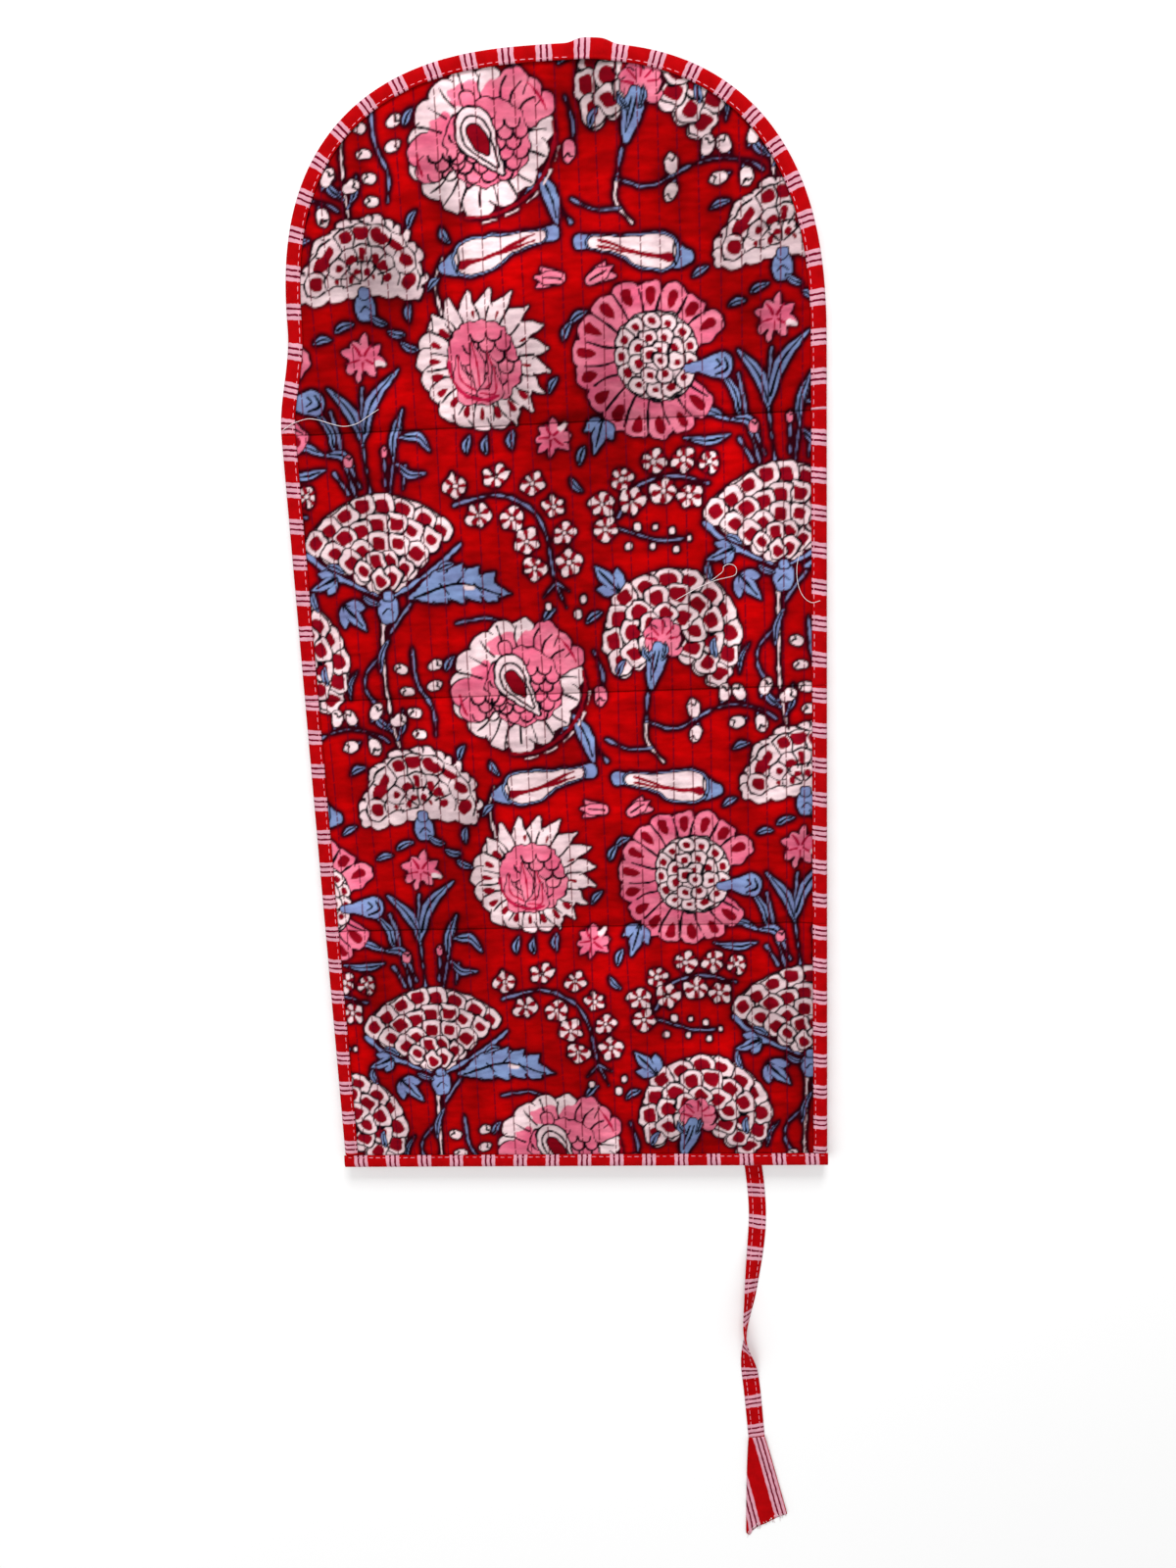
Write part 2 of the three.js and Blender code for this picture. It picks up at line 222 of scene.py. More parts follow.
def stroke(points, widths, count=16):
    """A brush stroke along a smooth curve, its half width running through widths."""
    path = smooth_path(points, count)
    radii = np.interp(np.linspace(0, 1, count), np.linspace(0, 1, len(widths)), widths)
    centre = (path.min(0) + path.max(0)) / 2
    reach = np.abs(path - centre).max() + max(widths)
    ahead = np.diff(path, axis=0)
    square = np.maximum((ahead ** 2).sum(1), 1e-9)

    def distance(x, y):
        u, v = x[..., None] - path[:-1, 0], y[..., None] - path[:-1, 1]
        along = np.clip((u * ahead[:, 0] + v * ahead[:, 1]) / square, 0, 1)
        gap = np.hypot(u - along * ahead[:, 0], v - along * ahead[:, 1])
        return (gap - radii[:-1] - along * np.diff(radii)).min(-1)
    return centre, reach, distance


def lozenge(centre, wide, tall, turn=0, power=2.6):
    """A rounded block, wide and tall being half sizes, turned by degrees."""
    centre = np.asarray(centre, float)
    side, up = heading(turn), heading(turn + 90)

    def distance(x, y):
        u = (x - centre[0]) * side[0] + (y - centre[1]) * side[1]
        v = (x - centre[0]) * up[0] + (y - centre[1]) * up[1]
        size = (np.abs(u / wide) ** power + np.abs(v / tall) ** power) ** (1 / power)
        return (size - 1) * min(wide, tall)
    return centre, max(wide, tall) * 1.3, distance


class BlockPrint:
    """One repeat of the floral print, painted on a grid that wraps round at its edges."""

    def __init__(self):
        self.shape = (round(REPEAT_TALL / GRAIN), round(REPEAT_WIDE / GRAIN))
        self.mottle = np.clip(0.45 + 0.3 * soft_noise(self.shape, GRAIN, 2.2, 3.4, 5), 0, 1)
        self.colour = RED[0] + (RED[1] - RED[0]) * self.mottle[..., None]
        self.motif = np.zeros(self.shape)
        self.rim = np.zeros(self.shape)
        self.wobble = 0.2 * soft_noise(self.shape, GRAIN, 1.2, 1.2, 3)
        self.dice = np.random.default_rng(11)

    def patch(self, centre, reach):
        """Grid places and coordinates of a square that may run over the repeat's edges."""
        low = np.floor((np.asarray(centre) - reach) / GRAIN).astype(int)
        high = np.ceil((np.asarray(centre) + reach) / GRAIN).astype(int)
        across, down = (np.arange(low[k], high[k] + 1) for k in range(2))
        x, y = np.meshgrid(across * GRAIN, down * GRAIN)
        return np.ix_(down % self.shape[0], across % self.shape[1]), x, y

    def lay(self, where, distance, ink):
        cover = np.clip(0.5 - distance / (2 * PRINT_EDGE), 0, 1)[..., None]
        colour = ink[0] + (ink[1] - ink[0]) * self.mottle[where][..., None]
        self.colour[where] += (colour - self.colour[where]) * cover

    def ink(self, shape, ink, line=0.5, wild=1.0, halo=SOFT_HALO):
        """Inks a shape, with a key line round it and a dark halo where dyes meet at its edge."""
        centre, reach, distance = shape
        where, x, y = self.patch(centre, reach + INK_MARGIN)
        gap = distance(x, y) + wild * self.wobble[where]
        if line > 0:
            self.lay(where, gap - line * LINE_WEIGHT, KEY)
        self.lay(where, gap, ink)
        self.motif[where] = np.maximum(self.motif[where], gap < 0)
        self.rim[where] = np.maximum(self.rim[where], halo * (gap < RIM_REACH))

    def brush(self, points, widths, ink, line=0.5, wild=1.0, halo=SOFT_HALO):
        """Inks a stroke."""
        self.ink(stroke(points, widths), ink, line, wild, halo)

    def leafy(self, points, widths, line=0.5, ink=BLUE):
        """A stroke with the full dark halo that leaves, stems and calyxes have."""
        self.brush(points, widths, ink, line, 1.0, FULL_HALO)

    def line(self, points, width=0.5, ink=KEY, count=14):
        width *= LINE_WEIGHT
        self.ink(stroke(points, (width, width, width * 0.7), count), ink, 0, 0.5)

    def ring(self, centre, radius, start, end, width, ink, line=0.0):
        spots = [np.asarray(centre) + radius * heading(angle) for angle in np.linspace(start, end, 9)]
        self.ink(stroke(spots, (width, width), 40), ink, line)

    # ---- leaves and stems
    def leaf(self, root, tip, width, bend):
        """A leaf with its midrib; bend bows it, as a share of its length."""
        root, tip = np.array(root, float), np.array(tip, float)
        span = tip - root
        side = np.array((-span[1], span[0]))
        middle = root + span * 0.5 + side * bend
        widths = (0.25, width * 0.75, width, width * 0.7, 0.15)
        self.brush((root, middle, tip), widths, BLUE, 0.45, 0.8, FULL_HALO)
        self.line((root + span * 0.1 + side * bend * 0.36, middle, root + span * 0.88 + side * bend * 0.4),
                  0.38)

    def stem(self, points, width=0.5, ink=MAUVE):
        """A stem that thins towards its far end."""
        self.ink(stroke(points, (width, width * 0.8, width * 0.55), 40), ink, 0.4, 1.2, FULL_HALO)

    def serrated(self, root, tip, width, teeth, bend=0.0):
        """A broad leaf whose edges are cut into points."""
        root, tip = np.array(root, float), np.array(tip, float)
        span = tip - root
        side = np.array((-span[1], span[0]))
        out = side / math.hypot(*span)
        spine = (root, root + span * 0.5 + side * bend, tip)
        self.leafy(spine, (0.4, width * 0.85, width, width * 0.6, 0.2))
        for k in range(teeth):
            along = 0.2 + 0.66 * (k + 0.5) / teeth
            base = root + span * along + side * bend * 4 * along * (1 - along)
            for way in (-1, 1):
                reach = width * (1.2 - 0.9 * abs(along - 0.45)) * way
                point = base + out * reach + span / math.hypot(*span) * width * 0.55
                self.leafy((base + out * reach * 0.5, point), (width * 0.42, 0.2))
        self.brush(spine, (0.3, width * 0.7, width * 0.8, width * 0.5, 0.2), BLUE, 0)
        self.line((root + span * 0.05, spine[1], root + span * 0.9))
        for k in range(3):
            base = root + span * (0.3 + 0.17 * k) + side * bend
            way = 1 if k % 2 else -1
            end = base + out * width * 0.62 * way + span / math.hypot(*span) * width * 0.5
            self.line((base, end), FINE_LINE)
        self.ink(lozenge(root + span * 0.58 + out * width * 0.5, 2.8, 1.3), WHITE, 0)

    def trefoil(self, centre, size, turn):
        """A leaf of three lobes."""
        centre = np.array(centre, float)
        root = centre - heading(turn) * size * 0.7
        for lean, long in ((-42, 0.95), (42, 0.95), (0, 1.5)):
            tip = root + heading(turn + lean) * size * long
            self.leafy((root, (root + tip) / 2, tip), (0.5, size * 0.3, 0.2))
        self.ink(lozenge(root + heading(turn) * size * 0.4, size * 0.24, size * 0.24), BLUE, 0)
        self.line((root, centre + heading(turn) * size * 0.5))

    # ---- small flowers
    def bud(self, centre, size, turn, ink=WHITE, cap=True):
        centre, out = np.array(centre, float), heading(turn)
        if cap:
            base = centre - out * size * 0.8
            self.leafy((base - out * size * 0.6, base), (0.3, size * 0.32), 0.4, MAUVE)
        self.brush((centre - out * size * 0.5, centre + out * size * 0.6),
                   (size * 0.55, size * 0.62, size * 0.2), ink)
        tip = centre + out * size * 0.35
        side = heading(turn + 90) * size * 0.4
        self.line((tip - side, tip - side * 0.3 - out * size * 0.3, tip + side * 0.3, tip + side), 0.34)

    def blossom(self, centre, size, turn):
        """A little five-petalled flower with wine marks between its petals."""
        centre = np.array(centre, float)
        for k in range(5):
            out = heading(turn + 72 * k + self.dice.uniform(-9, 9))
            reach = size * self.dice.uniform(0.85, 1.1)
            broad = size * self.dice.uniform(0.28, 0.38)
            self.brush((centre + out * size * 0.1, centre + out * reach * 0.68), (size * 0.16, broad), WHITE,
                       0.45, 2.4, 0.8)
        for k in range(5):
            out = heading(turn + 36 + 72 * k)
            self.brush((centre + out * size * 0.15, centre + out * size * 0.72), (0.35, size * 0.2), WINE, 0,
                       0.8)
        self.ink(lozenge(centre, 0.8, 0.8), WHITE, 0.25)

    def tulip(self, centre, turn):
        centre = np.array(centre, float)
        foot = centre - heading(turn) * 3.5
        for lean in (-34, 34, 0):
            out = heading(turn + lean)
            self.brush((foot, centre + out * 1.5, centre + out * 7), (2.0, 2.8, 0.3), PINK, 0.45)
        self.line((foot, centre, centre + heading(turn) * 4), FINE_LINE)

    def star(self, centre, size, turn):
        """A small ragged pink flower with a pale petal tip."""
        centre = np.array(centre, float)
        for k in range(8):
            out = heading(turn + 45 * k + self.dice.uniform(-9, 9))
            reach = size * self.dice.uniform(0.72, 1.12)
            broad = size * self.dice.uniform(0.16, 0.26)
            self.brush((centre, centre + out * reach * 0.7, centre + out * reach), (broad, broad, 0.5), PINK,
                       0.35, 1.6)
        self.ink(lozenge(centre, size * 0.6, size * 0.54), PINK, 0, 2.0)
        self.rays(centre, np.arange(turn + 20, turn + 380, 72), size * 0.15, size * 0.75, 8, ROSE)
        out = heading(turn - 50)
        self.brush((centre + out * size * 0.66, centre + out * size * 0.95), (size * 0.14, size * 0.1),
                   WHITE, 0, 1.5)

    # ---- fans of cells
    def cell(self, centre, wide, tall, turn, heart=0.64):
        """A white cell with a wine heart, the unit that the fans are built of."""
        centre = np.array(centre, float)
        self.ink(lozenge(centre, wide, tall, turn, 2.9), WHITE, 0.6, 1.8)
        shift = heading(turn + 90) * tall * self.dice.uniform(-0.16, 0.12)
        heart *= self.dice.uniform(0.88, 1.14)
        self.ink(lozenge(centre + shift, wide * heart, tall * heart, turn + self.dice.uniform(-12, 12), 2.9),
                 WINE, 0, 1.2)

    def fan(self, apex, rows, start, end, tall):
        """Rows of cells spread about a point: each row is its radius and its number of cells."""
        apex = np.array(apex, float)
        for radius, _ in rows:
            self.ring(apex, radius, start + 5, end - 5, tall, WHITE, 0.55)
        for radius, count in reversed(rows):
            step = (end - start) / count
            for k in range(count):
                angle = start + (k + 0.5) * step + self.dice.uniform(-1.5, 1.5)
                wide = radius * math.radians(step) * 0.56
                centre = apex + heading(angle) * radius * self.dice.uniform(0.95, 1.05)
                self.cell(centre, wide, tall * self.dice.uniform(1.0, 1.14), angle - 90)

    def carnation(self, apex):
        """A half round of ragged white petals, with wine hearts and fine dark lines between them."""
        apex = np.array(apex, float)
        rows = ((4.8, 4, 1.3), (11.8, 7, 2.0), (20.6, 9, 3.0))
        for angle in np.arange(-12, 196, 11):
            spot = apex + heading(angle) * (25.0 + self.dice.uniform(-1.4, 1.6))
            self.ink(lozenge(spot, 2.9, 3.4, angle, 2.6), WHITE, 0.55, 2.2)
        for radius, _, _ in rows:
            self.ring(apex, radius, -10, 190, 5.4, WHITE)
        for radius, count, size in rows:
            step = 200 / count
            for k in range(count):
                angle = -10 + (k + 0.5) * step + self.dice.uniform(-3, 3)
                spot = apex + heading(angle) * (radius + self.dice.uniform(-0.8, 0.8))
                wide, tall = size * self.dice.uniform(0.8, 1.5), size * self.dice.uniform(0.7, 1.1)
                lean = self.dice.uniform(-25, 25)
                self.ink(lozenge(spot, wide, tall, angle - 90 + lean, 2.4), WINE, 0, 2.0)
                side = angle + step * 0.5
                bow = side + self.dice.uniform(-5, 5)
                self.line((apex + heading(side) * (radius - 3.8), apex + heading(bow) * radius,
                           apex + heading(side) * (radius + 3.4)), FINE_LINE)
                far = radius + 4.0
                rim = (apex + heading(side - step) * far, apex + heading(angle) * (far + 1.0),
                       apex + heading(side) * far)
                self.line(rim, FINE_LINE)

    def calyx(self, centre):
        """The blue foot that a fan of cells or a carnation stands on."""
        centre = np.array(centre, float)
        self.ink(lozenge(centre - (0, 3.5), 4.4, 5.6), BLUE, 0.5, 1.0, FULL_HALO)
        self.ink(lozenge(centre + (0, 2.5), 2.2, 2.2), BLUE, 0.5)
        self.line((centre - (2.4, 5), centre - (0, 3), centre - (-2.4, 5)), FINE_LINE)

    # ---- parts of the large flowers
    def scales(self, centre, reach, size, ink, skip=0.0):
        """Fish-scale arcs that fill a round patch."""
        centre = np.array(centre, float)
        for row in range(int(2 * reach / (size * 0.85)) + 1):
            y = -reach + size * 0.85 * row
            for k in range(int(2 * reach / (size * 1.35)) + 1):
                x = -reach + size * 1.35 * (k + 0.5 * (row % 2))
                if math.hypot(x, y) > reach - size * 0.35 or self.dice.random() < skip:
                    continue
                arc = [centre + (x, y) + size * 0.68 * heading(angle) for angle in (176, 222, 270, 318, 364)]
                self.line(arc, 0.4, ink, 9)

    def petals(self, centre, angles, inner, outer, width, ink, tip=1.0, sway=0.0):
        """Rounded petals from inner to outer radius; a tip under 1 sharpens them."""
        centre = np.array(centre, float)
        for angle in angles:
            out, turned = heading(angle), heading(angle + sway)
            reach = outer * self.dice.uniform(0.95, 1.04)
            end = centre + turned * (reach - width * tip)
            self.brush((centre + out * inner, centre + out * (inner + reach) * 0.5, end),
                       (width * 0.6, width, width * tip), ink, 0.5, 1.5)

    def rays(self, centre, angles, inner, outer, sway=4.0, ink=KEY):
        """Thin bowed lines between an inner and an outer radius."""
        centre = np.array(centre, float)
        for angle in angles:
            bend = angle + self.dice.uniform(-sway, sway)
            far = outer * self.dice.uniform(0.86, 1.0)
            self.line((centre + heading(angle) * inner, centre + heading(bend) * (inner + far) * 0.5,
                       centre + heading(angle + (bend - angle) * 0.4) * far), 0.42, ink)

    def seeds(self, centre, angles, radius, long, wide):
        centre = np.array(centre, float)
        for angle in angles:
            out = heading(angle)
            spot = centre + out * radius * self.dice.uniform(0.96, 1.04)
            self.brush((spot - out * long * 0.6, spot + out * long * 0.5), (0.3, wide * 0.8, wide), WINE, 0)

    # ---- the large flowers
    def peony(self, centre):
        centre = np.array(centre, float)
        self.petals(centre, np.arange(6, 366, 24), 6, 31, 6.8, WHITE)
        self.ink(lozenge(centre, 25.5, 25), WHITE, 0)
        self.ring(centre, 31.2, -100, 8, 0.8, WINE)
        for start in range(-88, -6, 17):
            self.ring(centre, 33.4, start, start + 10, 0.42, WHITE)
        self.petals(centre + (4, 3), (20, 40, 58), 8, 28.5, 5.6, PINK)
        self.petals(centre, (184, 204), 9, 30, 6.2, PINK)
        for x, y, wide, tall in ((-15, 2, 6, 11), (-5, 19, 7, 5), (9, 17, 9, 7), (15, 10, 8, 7),
                                 (-19, -7, 5, 8)):
            self.ink(lozenge(centre + (x, y), wide, tall, 12, 2.3), PINK, 0, 2.6)
        self.ring(centre + (4, 3), 25, 14, 46, 0.6, ROSE)
        self.ring(centre, 27, 186, 206, 0.6, ROSE)
        self.rays(centre, (84, 104, 124, 144, 164, 222, 238, 254, 270, 286, 302, 320, 340, 2), 17, 30)
        self.rays(centre + (4, 3), (30, 50, 66), 14, 26, 6)
        self.ink(lozenge(centre + (3, -1), 17, 17.5, 20, 2.3), PINK, 0.5, 2.6)
        self.scales(centre + (4, -1), 17, 4.9, KEY, 0.1)
        self.scales(centre + (-14, -8), 8, 4.6, KEY, 0.1)
        self.ink(lozenge(centre + (-4, 17), 2.8, 3.2), PINK, 0.5)
        drop = [centre + (x, y) for x, y in ((-3, 6.5), (-1, 0), (9, -14))]
        self.brush(drop, (7.4, 8.0, 5.0, 0.5), WHITE, 0.8, 1.0)
        core = [centre + (x, y) for x, y in ((-2.8, 5), (-0.6, -0.6), (6.5, -10.5))]
        self.brush(core, (4.8, 5.2, 3.2, 0.4), WHITE, 0.8, 0.5)
        self.brush([centre + (x, y) for x, y in ((-2.6, 3.8), (2.4, -5.2))], (2.9, 3.1, 0.8), WINE, 0.6, 0.5)

    def chrysanthemum(self, centre):
        centre = np.array(centre, float)
        self.petals(centre, np.arange(138, 300, 18), 8, 28, 5.6, WHITE)
        self.petals(centre, np.arange(-60, 140, 18), 8, 31, 5.0, WHITE, 0.1, -6)
        self.ink(lozenge(centre, 23, 23), WHITE, 0)
        self.rays(centre, np.arange(129, 300, 18), 14, 27, 7)
        self.rays(centre, np.arange(-52, 130, 18), 14, 26.5, 7)
        self.seeds(centre, np.arange(138, 330, 18), 20.5, 3.4, 1.5)
        self.seeds(centre + (1, 0), (96, 66, 22, -8), 20, 2.4, 0.8)
        heart = centre + (1, 0.5)
        self.ink(lozenge(heart, 15.5, 17, 14, 2.3), PINK, 0.5, 2.6)
        self.scales(heart + (2.5, 3), 14.5, 5.4, KEY, 0.0)
        for lean, long in ((-42, 12), (-20, 18), (4, 21), (26, 17), (46, 12)):
            root = heart + (-3, -13)
            bow = root + heading(98 - lean * 2.2) * long * 0.55
            tip = root + heading(98 - lean) * long
            self.brush((root, bow, tip), (1.4, 3.2, 0.3), PINK, 0.4)
            self.line((root, bow, tip), FINE_LINE, ROSE)
        self.ring(heart + (-1, -1), 14.8, 172, 292, 0.7, ROSE)

    def pink_flower(self, centre):
        centre = np.array(centre, float)
        spread = np.arange(28, 318, 20.4)
        self.petals(centre, spread, 8, 33, 6.0, PINK)
        for angle in spread:
            self.ink(lozenge(centre + heading(angle) * 28, 5.0, 4.2, angle - 90, 3.4), PINK, 0, 2.0)
        self.ring(centre, 18, 34, 306, 8, PINK)
        self.rays(centre, spread + 10.2, 15, 30.5)
        self.seeds(centre, spread, 25.5, 5.0, 2.3)
        disc = centre + (2.4, 1.4)
        self.ink(lozenge(disc, 16.8, 18, 0, 2.2), WHITE, 0.6, 2.0)
        for radius, count in ((14.3, 13), (8.4, 8), (2.9, 3)):
            for k in range(count):
                angle = 360 * (k + 0.5) / count
                self.cell(disc + heading(angle) * radius, radius * math.pi / count, 3.1, angle - 90, 0.5)
        pod = centre + (23.5, -4.6)
        self.leafy((pod - (9, 0), pod - (3, -0.4), pod + (5, 0)), (1.4, 2.6, 5.4))
        self.line((pod + (3, -3.5), pod + (8, -1.5), pod + (7, 3)))
        self.line((pod + (2.5, -1.2), pod + (5, 0.4), pod + (3.6, 2.6)), FINE_LINE)

    def crescent(self, centre):
        """A horseshoe of cells round a pink heart, on a blue calyx."""
        centre = np.array(centre, float)
        heart = centre + (-4, -8)
        self.fan(centre + (0, -7.5), ((10.5, 6), (18.5, 9), (26.5, 12)), -52, 212, 4.4)
        self.petals(heart, np.arange(-40, 230, 38), 1, 9.2, 3.4, PINK)
        self.ink(lozenge(heart, 6.5, 5.5), PINK, 0)
        self.rays(heart, (10, 50, 90, 130, 170), 3, 8.4, 4, ROSE)
        cup = [heart + (x, y) for x, y in ((-2, -3), (-4.5, -11), (-7.5, -21))]
        self.leafy(cup, (2.2, 4.3, 3.6, 1.2))
        for k in (-1, 1):
            self.line([heart + (x, y) for x, y in ((-3 + k, -5), (-5.4 + k, -12), (-7.4, -18))], FINE_LINE)
        self.leaf(heart + (-6, -9), heart + (-9.5, -2), 1.1, 0.1)
        self.leaf(heart + (-1, -8.5), heart + (1, -1), 1.1, -0.1)

    def pod(self, centre, mirror):
        """A white seed pod in a blue rim, its fat end on the left, or on the right where mirror is -1."""
        def at(x, y):
            return np.array((centre[0] + mirror * x, centre[1] + y))
        self.leafy((at(-22, -4.5), at(-17, -3.5)), (3.2, 5.2))
        self.leafy((at(17, 3.6), at(22.5, 4.2)), (2.6, 3.2))
        body = (at(-11, -1.6), at(-4, -1), at(5, 1.6), at(17, 3.6))
        self.leafy(body, (8.2, 7.8, 4.5, 3.3))
        self.brush(body, (6.9, 6.6, 3.5, 2.4), WHITE, 0.5)
        self.brush([at(x, y) for x, y in ((-15, -4), (-6, -3), (2, -0.6), (9, 2.4), (15, 4.6))],
                   (1.0, 0.9, 0.8, 0.6), WINE, 0, 0.6)
        self.brush([at(x, y) for x, y in ((-1, -1.6), (4, -1.2), (10, 0.6), (15, 1.8))], (0.8, 0.6), WINE, 0,
                   0.6)
        self.brush((at(-15, -4.2), at(-11, -3.4)), (2.2, 1.0), WINE, 0, 0.6)
        self.line([at(x, y) for x, y in ((-17, 2), (-16.4, -3), (-17.5, -7))], 0.4)


def paint_print():
    """The print's layout. Its middle is the peony, and lengths are millimetres of cloth."""
    cloth = BlockPrint()
    for points in (
        ((-55, -97), (-57, -116), (-56, -141), (-54, -160)), ((-38, -108), (-43, -125), (-47, -143)),
        ((-70, -106), (-66, -128), (-62, -146)), ((59, -21), (60, -12), (62, -5)),
        ((-44, 21), (-43, 3), (-38, -9), (-38, -21)),
        ((-19, 82), (-2, 85), (9, 82), (18, 75), (22, 65), (23, 53), (24, 44), (28, 33)),
        ((54, 71), (61, 82), (73, 86), (84, 85), (93, 82)), ((24, 44), (18, 38)), ((24, 44), (30, 40)),
    ):
        cloth.stem(points)
    for points in (
        ((-56, 34), (-57, 18), (-58, -8), (-55, -29)), ((-14, -46), (-17.5, -57), (-16, -70)),
        ((59, -21), (59, -30), (66, -40)),
    ):
        cloth.stem(points, 0.7, WHITE)
    for points in (
        ((-57, 19), (-66, 10), (-67, 0), (-61, -10)), ((-44, 40), (-52, 30), (-57, 20)),
        ((-24, 30), (-8, 31), (6, 22)),
        ((59, -21), (73, -25), (87, -19), (100, -16), (113, -19), (119, -23)),
        ((40, -28), (50, -33), (61, -33)), ((38, 13), (41, 2), (40, -7)),
        ((54, 66), (64, 62), (73, 59), (82, 59)), ((-64, 103), (-60, 92)), ((-48, 105), (-49, 92)),
        ((-71, 100), (-66, 90)), ((-39, 100), (-41, 90)), ((26, -17), (33, -28), (40, -38)),
    ):
        cloth.stem(points, 0.42)
    for root, tip, width, bend in (
        ((-57, -122), (-70, -96), 2.5, -0.10), ((-57, -120), (-38, -91), 2.6, 0.12),
        ((-70, -123), (-77, -105), 1.7, -0.1), ((-44, -130), (-38, -108), 1.7, 0.1),
        ((85, 111), (104, 108), 1.9, 0.16), ((84, 102), (104, 102), 1.8, -0.10),
        ((-41, -120), (-27, -127), 1.9, 0.22), ((-43, -131), (-30, -136), 1.5, -0.2),
        ((-74, -124), (-62, -130), 1.8, 0.2), ((26, -16), (34, -38), 3.0, 0.06),
        ((24, -15), (20, -24), 1.5, 0.1), ((-59, 10), (-54, 25), 1.4, 0.1),
        ((-58, -18), (-66, -8), 1.4, 0.1), ((-52, -8), (-56, -22), 1.2, 0.1),
        ((-70, 12), (-76, -2), 1.1, -0.1),
    ):
        cloth.leaf(root, tip, width, bend)
    cloth.fan((-53.5, 46), ((6, 2), (13, 4), (21, 5), (29.5, 7), (38, 8)), 37, 149, 4.2)
    cloth.stem(((-88, 65), (-79, 56), (-67, 49), (-54, 43)), 0.9, BLUE)
    cloth.stem(((-18, 65), (-29, 56.5), (-41, 49), (-53, 43)), 0.9, BLUE)
    cloth.carnation((-49.5, -54))
    cloth.crescent((74, 23))
    cloth.peony((1.5, -0.5))
    cloth.chrysanthemum((-0.5, -92))
    cloth.pink_flower((73, -97))
    cloth.pod((9.5, -46), 1)
    cloth.pod((67, -51), -1)
    cloth.tulip((33, -61), 170)
    cloth.tulip((52, -62), 30)
    cloth.star((-53, -85), 10.5, 30)
    cloth.star((26, 106.5), 8.5, 90)
    cloth.serrated((-44, 42.5), (3, 41), 7.4, 4, 0.12)
    for centre, size, turn in (((47, 44), 10, 130), ((47, 106), 10, 250), ((-69, 36), 10, 310),
                               ((-82, 51), 8, 200)):
        cloth.trefoil(centre, size, turn)
    cloth.calyx((-53.5, 42))
    cloth.calyx((-49, -61))
    for centre in ((-17, 90), (1, 93), (17, 88), (-8, 77), (7, 74), (26, 77), (13, 63), (30, 65), (15, 51),
                   (31, 52), (56, 87), (70, 93), (83, 93), (94, 91), (47, 77), (60, 77), (74, 80), (85, 77),
                   (48, 66)):
        cloth.blossom(centre, cloth.dice.uniform(4.9, 5.9), cloth.dice.uniform(0, 72))
    for centre, turn in (((-77, -10), 120), ((-64, -8), 60), ((-54, -13), 20), ((81, -16), 100),
                         ((81, -29), 250), ((-79, -24), 200), ((-67, -25), 290), ((96, -10), 70)):
        cloth.bud(centre, 4.2, turn)
    for centre, turn in (((-50, 11), 150), ((-49, 0), 170), ((-47, -10), 160), ((-46, -20), 170),
                         ((-34, 12), 30), ((-35, 2), 20)):
        cloth.bud(centre, 3.4, turn, WHITE, False)
    for centre in ((-64, 105), (-48, 107)):
        cloth.bud(centre, 2.8, 85, PINK, False)
    cloth.bud((39, -9), 4.6, 270, PINK, False)
    for x, y, turn in ((-59, -72, 20), (-69, -77, 10), (-37, -76, 160), (-32, -82, 150), (-27, -29, 60),
                       (-77, -35, 20), (-13, -37, 120), (-44, -70, 150), (44, -78, 30), (39, -83, 60),
                       (30, -104, 50), (-10, 107, 80), (-2, 107, 85), (9, 107, 88), (-61, 43, 150),
                       (-76, 57, 330), (-28, 12, 60), (36, 86, 130), (39, 98, 70), (-86, 10, 90),
                       (-84, -62, 30), (20, 30, 40), (-26, 55, 20), (40, 28, 30), (-18, -57, 40),
                       (-30, -68, 80), (92, 44, 100), (50, 4, 60)):
        out = heading(turn) * 4.0
        cloth.leaf((x, y) - out, (x, y) + out, 1.5, 0.1)
    for x, y in ((58, 58), (62, 66), (68, 57), (70, 65), (77, 63), (78, 55), (84, 59), (36, 36), (33, 30),
                 (20, 34)):
        cloth.ink(lozenge((x, y), 1.3, 1.5), WHITE)
    halo = sum(share * np.clip(blurred(cloth.rim, spread) * gain, 0, 1) for spread, gain, share in HALOS)
    cloth.halo = np.clip(halo, 0, 1) * (1 - blurred(cloth.motif, MOTIF_EDGE))
    return cloth


# ---- meshes ------------------------------------------------------------------------------------
def signed_volume(points, faces):
    """Six times the volume that the faces close in, from each face's fan of triangles."""
    total = 0.0
    for face in faces:
        ring = points[face]
        first = np.broadcast_to(ring[0], ring[1:-1].shape)
        total += np.einsum("ij,ij->", np.cross(ring[1:-1], ring[2:]), first)
    return total


def quads_volume(points, quads):
    """Six times the volume that the quads close in."""
    a, b, c, d = (points[quads[:, k]] for k in range(4))
    return (np.cross(b, c) * a).sum() + (np.cross(c, d) * a).sum()


def make_piece(name, points, quads, others, material):
    """A mesh object from points in millimetres, quads as rows of an array, and other faces as lists."""
    points = np.asarray(points, float) * MM
    quads = np.asarray(quads, int).reshape(-1, 4)
    others = [list(face) for face in others]
    if quads_volume(points, quads) + signed_volume(points, others) < 0:
        quads = quads[:, ::-1]
        others = [face[::-1] for face in others]
    mesh = bpy.data.meshes.new(name)
    mesh.from_pydata(points.tolist(), [], quads.tolist() + others)
    mesh.polygons.foreach_set("use_smooth", np.ones(len(mesh.polygons), bool))
    mesh.validate()
    piece = bpy.data.objects.new(name, mesh)
    bpy.context.scene.collection.objects.link(piece)
    mesh.materials.append(material)
    return piece


